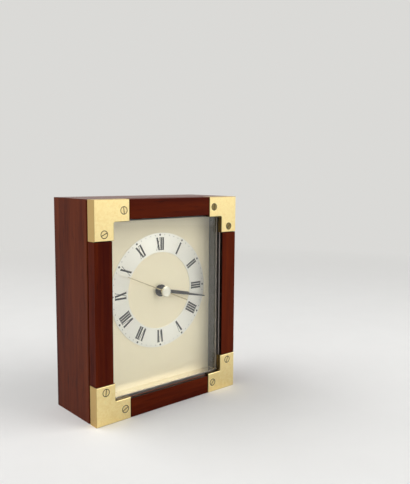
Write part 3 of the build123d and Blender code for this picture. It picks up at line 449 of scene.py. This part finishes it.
@dataclass(frozen=True)
class StainedMetal(Finish):
    """Metal with cloudy tarnish and fine brush lines."""

    rough: Pair = (0.26, 0.38)
    relief: float = 0.12
    depth: float = 0.02 * MM
    clean: Colour = (0.97, 0.80, 0.40)
    tarnished: Colour = (0.80, 0.57, 0.22)
    cloud_scale: float = 420.0
    cloud_share: float = 0.4
    cloud_dulling: float = 0.6
    line_scale: float = 900.0
    line_dulling: float = 0.4

    def wire(self, wiring: MaterialWiring) -> None:
        """Wires tarnish and brush lines on bare metal.

        Args:
            wiring: The material's wiring.
        """
        clouds = wiring.group(Effect.STAIN, wiring.place(self.cloud_scale))["Clouds"]
        brush = wiring.group(Effect.BRUSH, wiring.place(self.line_scale))
        mask = wiring.scaled(clouds, self.cloud_share)
        wiring.set("Base Color", wiring.blend(mask, self.clean, self.tarnished))
        dulled = wiring.math("ADD", wiring.scaled(clouds, self.cloud_dulling),
                             wiring.scaled(brush["Lines"], self.line_dulling))
        self.surface(wiring, dulled, brush["Height"])
        wiring.set("Metallic", 1.0)


@dataclass(frozen=True, kw_only=True)
class CapBrass(StainedMetal):
    """Brass whose faces behind the front carry painted shade: darker on its outer sides and near
    black along the opening.
    """

    half_width: float
    half_height: float
    front: float
    face_depth: float = 0.05 * MM
    # Painted shade for the outer sides and for the walls along the opening
    shaded_returns: Colour = (0.66, 0.45, 0.17)
    inner: Colour = (0.12, 0.078, 0.030)

    def wire(self, wiring: MaterialWiring) -> None:
        """Wires the brass, then paints shade on what lies behind its front face.

        Args:
            wiring: The material's wiring.
        """
        super().wire(wiring)
        spot = wiring.spot()
        out = wiring.math("ABSOLUTE", spot["X"], 0.0)
        up = wiring.math("ABSOLUTE", wiring.math("SUBTRACT", spot["Z"], self.half_height), 0.0)
        beside = wiring.remap(out, self.half_width - EDGE, self.half_width)
        above = wiring.remap(up, self.half_height - EDGE, self.half_height)
        # Painted shade: outer sides darker, walls along the opening near black
        side_shade = wiring.blend(wiring.math("MAXIMUM", beside, above), self.inner, self.shaded_returns)
        behind = wiring.remap(spot["Y"], self.front + self.face_depth, self.front + EDGE)
        wiring.cover(behind, side_shade)


@dataclass(frozen=True, kw_only=True)
class HeadBrass(StainedMetal):
    """Brass of the screw heads, with a painted dark reflection on the heads in the upper right
    corner.
    """

    middle: float
    fade: float = 1.0 * MM
    # Colour of the painted dark reflection
    dark_reflection: Colour = (0.24, 0.18, 0.070)

    def wire(self, wiring: MaterialWiring) -> None:
        """Wires the brass, then paints a dark reflection on the heads of one corner.

        Args:
            wiring: The material's wiring.
        """
        super().wire(wiring)
        spot = wiring.spot()
        right = wiring.remap(spot["X"], 0.0, self.fade)
        upper = wiring.remap(spot["Z"], self.middle, self.middle + self.fade)
        corner = wiring.math("MULTIPLY", right, upper)
        # Painted dark reflection on the heads of the upper right corner
        wiring.cover(corner, self.dark_reflection)


@dataclass(frozen=True)
class SpunMetal(StainedMetal):
    """Metal turned on a lathe, which shines in a bow tie about its axis."""

    spread: float = 0.7
    quarter_turn: float = 0.25

    def wire(self, wiring: MaterialWiring) -> None:
        """Wires the metal and turns its shine about the depth axis.

        Args:
            wiring: The material's wiring.
        """
        super().wire(wiring)
        turned = wiring.add("ShaderNodeTangent", direction_type="RADIAL", axis="Y")
        wiring.set("Tangent", turned.outputs["Tangent"])
        wiring.set("Anisotropic", self.spread)
        wiring.set("Anisotropic Rotation", self.quarter_turn)


@dataclass(frozen=True)
class SatinDial(Finish):
    """Cream lacquer on fine-brushed metal."""

    rough: Pair = (0.36, 0.42)
    relief: float = 0.10
    depth: float = 0.02 * MM
    pale: Colour = (0.96, 0.86, 0.63)
    deep: Colour = (0.90, 0.79, 0.55)
    lines: Triple = (2600.0, 2600.0, 26.0)
    line_share: float = 0.5
    cloud_scale: float = 40.0
    metal: float = 0.32
    spread: float = 0.5

    def wire(self, wiring: MaterialWiring) -> None:
        """Wires upright brush lines under a satin film.

        Args:
            wiring: The material's wiring.
        """
        brush = wiring.group(Effect.BRUSH, wiring.place(self.lines))
        stain = wiring.group(Effect.STAIN, wiring.place(self.cloud_scale))
        mask = wiring.scaled(brush["Lines"], self.line_share)
        wiring.set("Base Color", wiring.blend(mask, self.pale, self.deep))
        self.surface(wiring, stain["Clouds"], brush["Height"])
        across = wiring.add("ShaderNodeTangent", direction_type="RADIAL", axis="Z")
        wiring.set("Tangent", across.outputs["Tangent"])
        wiring.set("Metallic", self.metal)
        wiring.set("Anisotropic", self.spread)


@dataclass(frozen=True)
class Moulding(Finish):
    """Moulded plastic, paint or ink, with a fine texture."""

    rough: Pair = (0.38, 0.52)
    tone: Colour = (0.02, 0.02, 0.02)
    worn: Colour = (0.035, 0.034, 0.033)
    texture: float = 700.0
    cloud_scale: float = 60.0
    gloss_coat: float = 0.0
    density: float = 1.5

    def wire(self, wiring: MaterialWiring) -> None:
        """Wires a fine speckle over soft clouds.

        Args:
            wiring: The material's wiring.
        """
        fine = wiring.group(Effect.STAIN, wiring.place(self.texture))
        wide = wiring.group(Effect.STAIN, wiring.place(self.cloud_scale))
        colour = wiring.blend(wide["Clouds"], self.tone, self.worn)
        wiring.set("Base Color", colour)
        self.surface(wiring, fine["Clouds"], fine["Speck"])
        wiring.set("IOR", self.density)
        wiring.set("Coat Weight", self.gloss_coat)
        wiring.set("Coat Roughness", COAT_ROUGHNESS)


@dataclass(frozen=True, kw_only=True)
class PolishedSill(Moulding):
    """Gloss moulding whose lower wall carries a polished strip."""

    sill: float
    strip: Colour = (0.84, 0.765, 0.63)
    strip_metal: float = 0.9

    def wire(self, wiring: MaterialWiring) -> None:
        """Wires the moulding, then the strip on its lower wall.

        Args:
            wiring: The material's wiring.
        """
        super().wire(wiring)
        mask = wiring.remap(wiring.spot()["Z"], self.sill + FADE / 2, self.sill + FADE, 1.0, 0.0)
        wiring.cover(mask, self.strip)
        wiring.set("Metallic", wiring.scaled(mask, self.strip_metal))


@dataclass(frozen=True)
class ClearGlass(Finish):
    """Clear flat glass with a trace of dust."""

    rough: Pair = (0.0, 0.02)
    tint: Colour = (0.97, 0.985, 0.975)
    dusty: Colour = (0.985, 0.99, 0.985)
    shadow_tint: Colour = (0.95, 0.96, 0.95)
    cloud_scale: float = 30.0
    density: float = 1.5

    def wire(self, wiring: MaterialWiring) -> None:
        """Wires glass that lets the lamps' light through to the dial.

        Args:
            wiring: The material's wiring.
        """
        clouds = wiring.group(Effect.STAIN, wiring.place(self.cloud_scale))["Clouds"]
        wiring.set("Base Color", wiring.blend(clouds, self.tint, self.dusty))
        self.surface(wiring, clouds)
        wiring.set("IOR", self.density)
        wiring.set("Transmission Weight", 1.0)
        path = wiring.add("ShaderNodeLightPath")
        clear = wiring.add("ShaderNodeBsdfTransparent", {"Color": self.shadow_tint})
        wiring.switch(path.outputs["Is Shadow Ray"], wiring.shader.outputs["BSDF"],
                      clear.outputs["BSDF"], "Material Output")


@dataclass(frozen=True)
class WoundCopper(Finish):
    """Enamelled wire in close turns along X."""

    rough: Pair = (0.5, 0.28)
    relief: float = 0.5
    depth: float = 0.05 * MM
    turn_width: float = 0.4 * MM
    bright: Colour = (0.72, 0.33, 0.14)
    shade: Colour = (0.26, 0.09, 0.035)
    metal: float = 0.85

    def wire(self, wiring: MaterialWiring) -> None:
        """Wires one band for each turn.

        Args:
            wiring: The material's wiring.
        """
        inputs = {"Vector": wiring.place(), "Scale": 2.0 * math.pi / (WAVE_PHASE * self.turn_width)}
        bands = wiring.add("ShaderNodeTexWave", inputs, wave_type="BANDS", bands_direction="X")
        turns = bands.outputs[0]
        wiring.set("Base Color", wiring.blend(turns, self.shade, self.bright))
        self.surface(wiring, turns, turns)
        wiring.set("Metallic", self.metal)


@dataclass(frozen=True)
class BandedWrap(Finish):
    """Printed sleeve of a cell: a long plain band and a short one, split along X."""

    rough: Pair = (0.24, 0.36)
    split: float = 12.0 * MM
    long_band: Colour = (0.03, 0.03, 0.035)
    short_band: Colour = (0.55, 0.27, 0.07)
    short_metal: float = 0.8
    cloud_scale: float = 300.0
    film: float = 0.4

    def wire(self, wiring: MaterialWiring) -> None:
        """Wires the two bands under a clear film.

        Args:
            wiring: The material's wiring.
        """
        side = wiring.remap(wiring.spot()["X"], self.split, self.split + FADE)
        stain = wiring.group(Effect.STAIN, wiring.place(self.cloud_scale))
        bands = wiring.blend(side, self.long_band, self.short_band)
        wiring.set("Base Color", bands)
        self.surface(wiring, stain["Clouds"])
        wiring.set("Metallic", wiring.scaled(side, self.short_metal))
        wiring.set("Coat Weight", self.film)


@dataclass(frozen=True)
class StudioPaper(Finish):
    """Pale paper sweep whose far part keeps an even tone all round the clock."""

    rough: Pair = (0.85, 0.95)
    paper: Colour = (0.79, 0.785, 0.77)
    fibre_shade: float = 0.985
    fibre_scale: float = 25.0
    shine: float = 0.1
    near_reach: float = 0.22
    far_reach: float = 0.95

    def wire(self, wiring: MaterialWiring) -> None:
        """Wires paper near the clock and an even tone far from it.

        Args:
            wiring: The material's wiring.
        """
        fibre = wiring.group(Effect.STAIN, wiring.place(self.fibre_scale))
        shade = tuple(channel * self.fibre_shade for channel in self.paper)
        wiring.set("Base Color", wiring.blend(fibre["Clouds"], self.paper, shade))
        self.surface(wiring, fibre["Speck"])
        wiring.set("Specular IOR Level", self.shine)
        distance = wiring.add("ShaderNodeVectorMath", {0: wiring.place()}, operation="LENGTH")
        far_share = wiring.remap(distance.outputs["Value"], self.near_reach, self.far_reach)
        mask = wiring.math("MULTIPLY", far_share, wiring.seen())
        glow = wiring.add("ShaderNodeEmission", {"Color": BACKDROP})
        wiring.switch(mask, wiring.shader.outputs["BSDF"], glow.outputs["Emission"],
                      "Material Output")


BRIGHT_STEEL = StainedMetal(
    "bright_steel", rough=(0.22, 0.36), clean=(0.62, 0.62, 0.62), tarnished=(0.48, 0.47, 0.45)
)


def even_turns(steps: int) -> list[float]:
    """Gives the angles of even steps round a full turn, in radians."""
    return [2.0 * math.pi * step / steps for step in range(steps)]


def make_piece(name: str, work: Work, finish: Finish) -> bpy.types.Object:
    """Turns worked geometry into a piece of the scene.

    Args:
        name: Name of the piece.
        work: Its geometry, which is freed.
        finish: Its finish.

    Returns:
        The piece.
    """
    mesh = bpy.data.meshes.new(name)
    work.to_mesh(mesh)
    work.free()
    mesh.materials.append(finish.material())
    piece = bpy.data.objects.new(name, mesh)
    bpy.context.scene.collection.objects.link(piece)
    return piece


def close_prism(work: Work, near: Corners, far: Corners) -> None:
    """Closes the solid between two outlines.

    Args:
        work: Geometry that the faces go into.
        near: Corners of one end.
        far: Corners of the other end, in the same order.
    """
    work.faces.new(near)
    work.faces.new(far[::-1])
    for here in range(len(near)):
        after = (here + 1) % len(near)
        work.faces.new((near[here], far[here], far[after], near[after]))


class SubAssembly:
    """Part of the clock that dresses its own nodes."""

    def build(self) -> None:
        """Dresses the nodes and makes what the frame lacks."""
        raise NotImplementedError

    def dress(self, finish: Finish, *nodes: str) -> None:
        """Gives CAD nodes a finish.

        Args:
            finish: The finish.
            nodes: Names of the nodes.
        """
        for name in nodes:
            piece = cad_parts[name]
            piece.data.materials.clear()
            piece.data.materials.append(finish.material())
            log.info("%s takes %s", name, finish.name)


@dataclass
class Case(SubAssembly):
    """Mitred box of boards and the blocks in its corners."""

    upright: LacqueredWood = LacqueredWood("mahogany_upright", grain=Grain.UPRIGHT)
    level: LacqueredWood = LacqueredWood("mahogany_level", grain=Grain.LEVEL, coat=0.30)

    def build(self) -> None:
        """Dresses boards and blocks."""
        self.dress(self.upright, "case_left_side", "case_right_side")
        self.dress(self.level, "case_top_board", "case_bottom_board")
        self.dress(RawWood("sawn_softwood"), "corner_blocks")


@dataclass
class FrontFrame(SubAssembly):
    """Stiles, rails, brass corner caps, their screws and painted shade about the heads."""

    strip_width: float = 1.1 * MM
    head_radius: float = 2.5 * MM
    # Width and height of the ring of painted shade round each head
    shade_ring_width: float = 0.52 * MM
    shade_ring_height: float = 0.02 * MM
    # Corners of the ring's section, as shares of its width and height
    ring_profile: tuple[Pair, ...] = ((-0.5, 0.0), (0.0, 1.0), (0.5, 0.0), (0.0, -1.0))
    ring_steps: int = 24
    slot_width: float = 0.54 * MM
    slot_fill: float = 0.14 * MM
    # Corners of the fill's section, as shares of half the slot's width and of the fill
    slot_profile: tuple[Pair, ...] = (
        (-1.0, 0.0), (-0.4, 0.4), (0.4, 0.4), (1.0, 0.0), (1.0, 1.6), (-1.0, 1.6)
    )
    # A screw's distances from the two outer edges that are nearest to it
    near_end: Pair = (7.4 * MM, 22.5 * MM)
    slot_turns: tuple[float, ...] = (84.0, 24.0, 70.0, 38.0, 28.0, 96.0, 52.0, 88.0)

    def build(self) -> None:
        """Dresses the bars and the brass, and paints shade round and in the screw heads."""
        opening = Opening(
            left=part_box("frame_left_stile")[1].x,
            right=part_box("frame_right_stile")[0].x,
            low=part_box("frame_bottom_rail")[1].z,
            high=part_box("frame_top_rail")[0].z,
            strip_front=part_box("glass_pane")[0].y - self.strip_width,
        )
        bars = {"dark": (0.044, 0.0020, 0.0006), "light": (0.124, 0.0150, 0.0012),
                "coat": 0.045, "opening": opening}
        stile = LacqueredWood("mahogany_stile", grain=Grain.UPRIGHT, **bars)
        self.dress(stile, "frame_left_stile", "frame_right_stile")
        rail = LacqueredWood("mahogany_rail", grain=Grain.LEVEL, strip=(0.20, 0.062, 0.030), **bars)
        self.dress(rail, "frame_top_rail", "frame_bottom_rail")
        near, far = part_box("corner_top_right")
        middle = far.z / 2
        brass = CapBrass("corner_brass", half_width=far.x, half_height=middle, front=near.y)
        self.dress(brass, "corner_top_left", "corner_top_right",
                   "corner_bottom_left", "corner_bottom_right")
        screw_brass = HeadBrass("screw_brass", clean=(0.90, 0.74, 0.37),
                                tarnished=(0.62, 0.44, 0.18), cloud_scale=700.0, middle=middle)
        self.dress(screw_brass, "corner_screws")
        self._shade_screws()

    def _places(self) -> list[Pair]:
        """Finds the screws' middles from the brass that they hold.

        Returns:
            (x, z) of each, the stiles' four first.
        """
        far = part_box("corner_top_right")[1]
        right, half = far.x, far.z / 2
        across, along = self.near_end
        signs = [(side, level) for side in (-1, 1) for level in (-1, 1)]
        return [
            (side * (right - from_side), half + level * (half - from_end))
            for from_side, from_end in ((across, along), (along, across))
            for side, level in signs
        ]

    def _shade_screws(self) -> None:
        """Lays painted shade: a dark ring round each screw head and a dark fill in its slot."""
        work = bmesh.new()
        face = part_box("corner_top_left")[0].y
        for (x, z), turn in zip(self._places(), self.slot_turns):
            middle = Vector((x, face, z))
            self._shade_ring(work, middle)
            self._slot_shade(work, middle, math.radians(turn))
        bmesh.ops.recalc_face_normals(work, faces=work.faces)
        # Painted shade in the crease round each head and in its slot
        shade_ink = Moulding("screw_shade", rough=(0.6, 0.8), tone=(0.016, 0.011, 0.005),
                         worn=(0.034, 0.024, 0.010))
        piece = make_piece("screw_shade", work, shade_ink)
        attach(piece, "case")
        log.info("screw_shade laid round %d heads", len(self.slot_turns))

    def _shade_ring(self, work: Work, middle: Vector) -> None:
        """Makes a ring of painted shade, low at both rims and full between them.

        Args:
            work: Geometry that the ring goes into.
            middle: Middle of the screw's head, on the brass face.
        """
        turns = even_turns(self.ring_steps)
        rows = []
        for share, rise in self.ring_profile:
            radius = self.head_radius + share * self.shade_ring_width
            depth = -rise * self.shade_ring_height
            rows.append([
                work.verts.new(middle + Vector((radius * math.cos(t), depth, radius * math.sin(t))))
                for t in turns
            ])
        for inner, outer in zip(rows, rows[1:] + rows[:1]):
            for here in range(self.ring_steps):
                after = (here + 1) % self.ring_steps
                work.faces.new((inner[here], inner[after], outer[after], outer[here]))

    def _slot_shade(self, work: Work, middle: Vector, turn: float) -> None:
        """Makes the painted shade that lies in a screw's slot.

        Args:
            work: Geometry that the fill goes into.
            middle: Middle of the screw's head, on the brass face.
            turn: Angle of the slot from level.
        """
        along = Vector((math.cos(turn), 0.0, math.sin(turn)))
        across = Vector((-math.sin(turn), 0.0, math.cos(turn))) * (self.slot_width / 2)
        inward = Vector((0.0, self.slot_fill, 0.0))
        reach = along * (self.head_radius - self.slot_fill)
        near, far = (
            [work.verts.new(middle + inward + end + across * share + inward * sink)
             for share, sink in self.slot_profile]
            for end in (-reach, reach)
        )
        close_prism(work, near, far)


@dataclass
class Glazing(SubAssembly):
    """Glass, bead and dark surround."""

    bead_width: float = 1.2 * MM

    def build(self) -> None:
        """Dresses glass, bead and surround."""
        self.dress(ClearGlass("clear_glass"), "glass_pane")
        bead = Moulding("bead_grey", rough=(0.4, 0.5), tone=(0.44, 0.40, 0.38),
                        worn=(0.36, 0.32, 0.30))
        self.dress(bead, "glass_bead")
        surround = PolishedSill(
            "surround_black", rough=(0.16, 0.20), relief=0.002, tone=(0.010, 0.008, 0.006),
            worn=(0.016, 0.012, 0.010), gloss_coat=0.3, density=1.75,
            sill=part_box("glass_pane")[0].z + self.bead_width,
        )
        self.dress(surround, "dial_surround")


class Stroke(Enum):
    """Strokes that Roman numerals are made of."""

    UPRIGHT = "I"
    WEDGE = "V"
    CROSS = "X"


@dataclass
class Dial(SubAssembly):
    """Dial sheet, hour ring, its numerals and its dots."""

    numeral_base: float = 29.4 * MM
    numeral_height: float = 9.3 * MM
    thick: float = 1.34 * MM
    hair: float = 0.36 * MM
    serif: float = 0.30 * MM
    serif_overhang: float = 0.22 * MM
    wide_letter: float = 3.7 * MM
    dot_circle: float = 40.6 * MM
    hour_dot: float = 0.74 * MM
    minute_dot: float = 0.28 * MM
    dot_corners: int = 12
    print_height: float = 0.04 * MM
    names: tuple[str, ...] = (
        "I", "II", "III", "IIII", "V", "VI", "VII", "VIII", "IX", "X", "XI", "XII"
    )
    centre: Pair = field(init=False)
    face: float = field(init=False)

    def __post_init__(self) -> None:
        """Finds the ring that the print lies on."""
        low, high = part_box("chapter_ring")
        self.centre = ((low.x + high.x) / 2, (low.z + high.z) / 2)
        self.face = low.y

    def build(self) -> None:
        """Dresses dial and ring, and prints the ring."""
        self.dress(SatinDial("dial_cream"), "dial_plate")
        ring = SpunMetal("ring_silver", rough=(0.30, 0.38), clean=(0.95, 0.92, 0.83),
                         tarnished=(0.86, 0.83, 0.74), cloud_scale=50.0)
        self.dress(ring, "chapter_ring")
        board = RawWood("hardboard", dark=(0.11, 0.065, 0.035), light=(0.19, 0.12, 0.07),
                        stretch=300.0)
        self.dress(board, "dial_backboard")
        ink = Moulding("dial_ink", rough=(0.34, 0.46), tone=(0.010, 0.009, 0.008),
                       worn=(0.020, 0.018, 0.016))
        self._print("dial_numerals", self._numeral_shapes(), ink)
        self._print("dial_dots", self._dot_shapes(), ink)

    def _width(self, stroke: Stroke) -> float:
        """Gives the room that a stroke takes, in metres."""
        upright = self.thick + 2 * self.serif_overhang
        return upright if stroke is Stroke.UPRIGHT else self.wide_letter

    def _bar(self, foot: float, head: float, width: float) -> Outline:
        """Outlines a bar from its foot's middle to its head's, as (across, up) corners."""
        half, top = width / 2, self.numeral_height
        return [(foot - half, 0.0), (foot + half, 0.0), (head + half, top), (head - half, top)]

    def _foot(self, middle: float, width: float, at_top: bool) -> Outline:
        """Outlines a serif.

        Args:
            middle: Middle of the serif, across the numeral.
            width: Width of the bar that it ends.
            at_top: True for the numeral's top.

        Returns:
            Corners as (across, up).
        """
        left = middle - width / 2 - self.serif_overhang
        right = middle + width / 2 + self.serif_overhang
        low = self.numeral_height - self.serif if at_top else 0.0
        high = low + self.serif
        return [(left, low), (right, low), (right, high), (left, high)]

    def _stroke_shapes(self, stroke: Stroke, left: float) -> list[Outline]:
        """Outlines one letter.

        Args:
            stroke: Which letter.
            left: Its left edge, across the numeral.

        Returns:
            Outlines as (across, up) corners.
        """
        width = self._width(stroke)
        middle = left + width / 2
        if stroke is Stroke.UPRIGHT:
            return [
                self._bar(middle, middle, self.thick),
                self._foot(middle, self.thick, False),
                self._foot(middle, self.thick, True),
            ]
        start = left + self.serif_overhang + self.thick / 2
        end = left + width - self.serif_overhang - self.hair / 2
        tops = [self._foot(start, self.thick, True), self._foot(end, self.hair, True)]
        if stroke is Stroke.WEDGE:
            thin_foot = middle + self.thick / 3
            return [
                self._bar(middle, start, self.thick), self._bar(thin_foot, end, self.hair), *tops
            ]
        thick_foot, thin_foot = end - self.thick / 3, start - self.thick / 4
        return [
            self._bar(thick_foot, start, self.thick),
            self._bar(thin_foot, end, self.hair),
            *tops,
            self._foot(thick_foot, self.thick, False),
            self._foot(thin_foot, self.hair, False),
        ]

    def _numeral_shapes(self) -> list[Outline]:
        """Outlines all numerals on the ring.

        Returns:
            Outlines as (x, z) corners about the hand axis.
        """
        shapes = []
        for hour, name in enumerate(self.names, start=1):
            strokes = [Stroke(letter) for letter in name]
            left = -sum(self._width(stroke) for stroke in strokes) / 2
            for stroke in strokes:
                for outline in self._stroke_shapes(stroke, left):
                    shapes.append([
                        self._on_ring(hour * HOUR_ANGLE, across, self.numeral_base + up)
                        for across, up in outline
                    ])
                left += self._width(stroke)
        return shapes

    def _dot_shapes(self) -> list[Outline]:
        """Outlines a dot at each minute, larger at the hours.

        Returns:
            Outlines as (x, z) corners about the hand axis.
        """
        turns = even_turns(self.dot_corners)
        shapes = []
        for minute in range(MINUTES):
            radius = self.minute_dot if minute % MINUTES_BETWEEN_HOURS else self.hour_dot
            shapes.append([
                self._on_ring(minute * MINUTE_ANGLE, radius * math.cos(turn),
                              self.dot_circle + radius * math.sin(turn))
                for turn in turns
            ])
        return shapes

    @staticmethod
    def _on_ring(angle: float, across: float, out: float) -> Pair:
        """Places a point by degrees clockwise from twelve, as (x, z) about the axis."""
        sine, cosine = math.sin(math.radians(angle)), math.cos(math.radians(angle))
        return (out * sine + across * cosine, out * cosine - across * sine)

    def _print(self, name: str, shapes: list[Outline], ink: Finish) -> None:
        """Makes thin raised prints of outlines, which ride on the case.

        Args:
            name: Name of the piece.
            shapes: Outlines as (x, z) corners about the hand axis.
            ink: Finish of the print.
        """
        work = bmesh.new()
        middle_x, middle_z = self.centre
        for corners in shapes:
            near, far = (
                [work.verts.new((middle_x + x, depth, middle_z + z)) for x, z in corners]
                for depth in (self.face - self.print_height, self.face)
            )
            close_prism(work, near, far)
        bmesh.ops.recalc_face_normals(work, faces=work.faces)
        piece = make_piece(name, work, ink)
        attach(piece, "case")
        log.info("%s printed, %d shapes", name, len(shapes))


class Hands(SubAssembly):
    """The three hands and the cap on their axis."""

    def build(self) -> None:
        """Dresses hands and cap."""
        black = Moulding("hand_black", rough=(0.28, 0.38), tone=(0.018, 0.015, 0.013),
                         worn=(0.030, 0.026, 0.022))
        self.dress(black, "hour_hand", "minute_hand")
        gold = StainedMetal("hand_gold", rough=(0.3, 0.4), clean=(0.56, 0.46, 0.27),
                            tarnished=(0.42, 0.34, 0.19))
        self.dress(gold, "second_hand")
        silver = SpunMetal("cap_silver", rough=(0.32, 0.4), clean=(0.97, 0.93, 0.80),
                           tarnished=(0.91, 0.86, 0.72))
        self.dress(silver, "hand_cap")


class Movement(SubAssembly):
    """Quartz movement: housing, train, motor, circuit and cell."""

    def build(self) -> None:
        """Dresses the movement's pieces."""
        self.dress(Moulding("movement_black"), "movement_base", "movement_cover")
        white = Moulding("train_plastic", rough=(0.3, 0.42), tone=(0.72, 0.71, 0.67),
                         worn=(0.62, 0.60, 0.55))
        self.dress(white, "hour_wheel", "motion_wheel", "third_wheel", "fifth_wheel",
                   "rotor_pinion", "set_stem", "train_plate", "coil_bobbin")
        self.dress(StainedMetal("train_brass", rough=(0.22, 0.34)), "centre_wheel", "seconds_wheel")
        magnet = StainedMetal("magnet_grey", rough=(0.4, 0.55), clean=(0.20, 0.20, 0.21),
                              tarnished=(0.13, 0.13, 0.14))
        self.dress(magnet, "rotor_magnet")
        iron = StainedMetal("soft_iron", rough=(0.3, 0.45), clean=(0.46, 0.46, 0.47),
                            tarnished=(0.34, 0.33, 0.32))
        self.dress(iron, "stator", "coil_core")
        self.dress(WoundCopper("winding_copper"), "coil_winding")
        board = Moulding("board_green", rough=(0.3, 0.4), tone=(0.02, 0.12, 0.05),
                         worn=(0.03, 0.17, 0.07))
        self.dress(board, "circuit_board")
        self.dress(Moulding("chip_black", rough=(0.2, 0.3)), "driver_chip")
        self.dress(BRIGHT_STEEL, "quartz_crystal", "contact_positive", "contact_negative",
                   "movement_screws")
        self.dress(BandedWrap("cell_wrap"), "battery_cell")


class Back(SubAssembly):
    """Recessed cover, battery door, setting knob and screws."""

    def build(self) -> None:
        """Dresses the back."""
        black = Moulding("back_black", rough=(0.42, 0.58), relief=0.35, texture=1100.0,
                         tone=(0.016, 0.016, 0.017), worn=(0.026, 0.026, 0.026))
        self.dress(black, "back_cover", "battery_door")
        self.dress(Moulding("knob_black", rough=(0.3, 0.42)), "set_knob")
        self.dress(BRIGHT_STEEL, "back_cover_screws")


@dataclass(frozen=True)
class Lamp:
    """A soft lamp: where it hangs and points, its face's width and height, and its watts."""

    name: str
    place: Triple
    aim: Triple
    size: Pair
    power: float

    def hang(self) -> None:
        """Hangs the lamp and turns it to its aim."""
        data = bpy.data.lights.new(self.name, "AREA")
        data.shape = "RECTANGLE"
        data.size, data.size_y = self.size
        data.energy = self.power
        lamp = bpy.data.objects.new(self.name, data)
        lamp.location = self.place
        sight = Vector(self.aim) - Vector(self.place)
        lamp.rotation_euler = sight.to_track_quat("-Z", "Y").to_euler()
        bpy.context.scene.collection.objects.link(lamp)


@dataclass
class Studio:
    """Paper sweep, lamps and camera."""

    half_width: float = 2.2
    front: float = -1.6
    bend: float = 0.9
    bend_radius: float = 0.6
    bend_steps: int = 16
    top: float = 2.2
    world_tone: Colour = (0.80, 0.82, 0.84)
    world_strength: float = 0.15
    eye: Triple = (-0.2516, -0.3457, 0.1652)
    yaw: float = 41.57
    pitch: float = -6.474
    roll: float = 0.449
    focal_pixels: float = 579.27
    image_size: tuple[int, int] = (410, 484)
    sensor_width: float = 36.0
    clip_start: float = 0.01
    lamps: tuple[Lamp, ...] = (
        Lamp("window_right", (0.62, -0.72, 0.62), (0.0, 0.0, 0.08), (0.9, 0.6), 5.0),
        Lamp("front_card", (0.55, -0.78, 0.27), (0.0, 0.0, 0.10), (0.8, 0.45), 0.36),
        Lamp("high_front", (0.40, -0.55, 1.00), (0.0, 0.0, 0.08), (0.9, 0.6), 3.2),
        Lamp("top_softbox", (-0.60, 0.60, 1.20), (0.0, 0.0, 0.05), (1.35, 1.25), 17.0),
        Lamp("left_card", (-0.95, -0.30, 0.60), (0.0, 0.0, 0.08), (0.6, 0.7), 1.5),
    )

    def build(self) -> None:
        """Sets sweep, lamps, world and camera."""
        self._sweep()
        for lamp in self.lamps:
            lamp.hang()
        self._world()
        self._camera()
        bpy.context.scene.view_settings.view_transform = "Standard"

    def _world(self) -> None:
        """Sets a dim even light whose seen side has the backdrop's tone."""
        world = bpy.data.worlds.new("studio_world")
        world.use_nodes = True
        wiring = Wiring(world.node_tree)
        dim = world.node_tree.nodes["Background"]
        wiring.feed(dim.inputs["Color"], self.world_tone)
        dim.inputs["Strength"].default_value = self.world_strength
        pale = wiring.add("ShaderNodeBackground", {"Color": BACKDROP})
        wiring.switch(wiring.seen(), dim.outputs["Background"], pale.outputs["Background"],
                      "World Output")
        bpy.context.scene.world = world

    def _sweep(self) -> None:
        """Makes a floor that bends up into a backdrop."""
        work = bmesh.new()
        profile = [(self.front, 0.0), (self.bend, 0.0)]
        for step in range(1, self.bend_steps + 1):
            turn = math.pi / 2 * step / self.bend_steps
            back = self.bend + self.bend_radius * math.sin(turn)
            profile.append((back, self.bend_radius * (1.0 - math.cos(turn))))
        profile.append((self.bend + self.bend_radius, self.top))
        turned = Matrix.Rotation(math.radians(-self.yaw), 3, "Z")
        ends = (-self.half_width, self.half_width)
        rows = [[work.verts.new(turned @ Vector((x, y, z))) for x in ends] for y, z in profile]
        for lower, upper in zip(rows, rows[1:]):
            face = work.faces.new((lower[0], lower[1], upper[1], upper[0]))
            face.smooth = True
        sweep = make_piece("paper_sweep", work, StudioPaper("studio_paper"))

    def _camera(self) -> None:
        """Sets the camera where the photograph was taken from."""
        yaw, pitch, roll = (math.radians(angle) for angle in (self.yaw, self.pitch, self.roll))
        ahead = math.cos(pitch)
        forward = Vector((math.sin(yaw) * ahead, math.cos(yaw) * ahead, math.sin(pitch)))
        level = Vector((math.cos(yaw), -math.sin(yaw), 0.0))
        over = level.cross(forward)
        right = level * math.cos(roll) + over * math.sin(roll)
        up = over * math.cos(roll) - level * math.sin(roll)
        data = bpy.data.cameras.new("photo_camera")
        data.sensor_fit = "AUTO"
        data.sensor_width = self.sensor_width
        data.lens = self.focal_pixels * self.sensor_width / max(self.image_size)
        data.clip_start = self.clip_start
        camera = bpy.data.objects.new("photo_camera", data)
        turned = Matrix((right, up, -forward)).transposed().to_4x4()
        camera.matrix_world = Matrix.Translation(Vector(self.eye)) @ turned
        bpy.context.scene.collection.objects.link(camera)
        bpy.context.scene.camera = camera


def main() -> None:
    """Builds the parts in order."""
    logging.basicConfig(level=logging.INFO, format="%(name)s: %(message)s")
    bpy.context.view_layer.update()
    for part in (Case(), FrontFrame(), Glazing(), Dial(), Hands(), Movement(), Back(), Studio()):
        part.build()
        log.info("%s done", type(part).__name__)


if __name__ == "__main__":
    main()
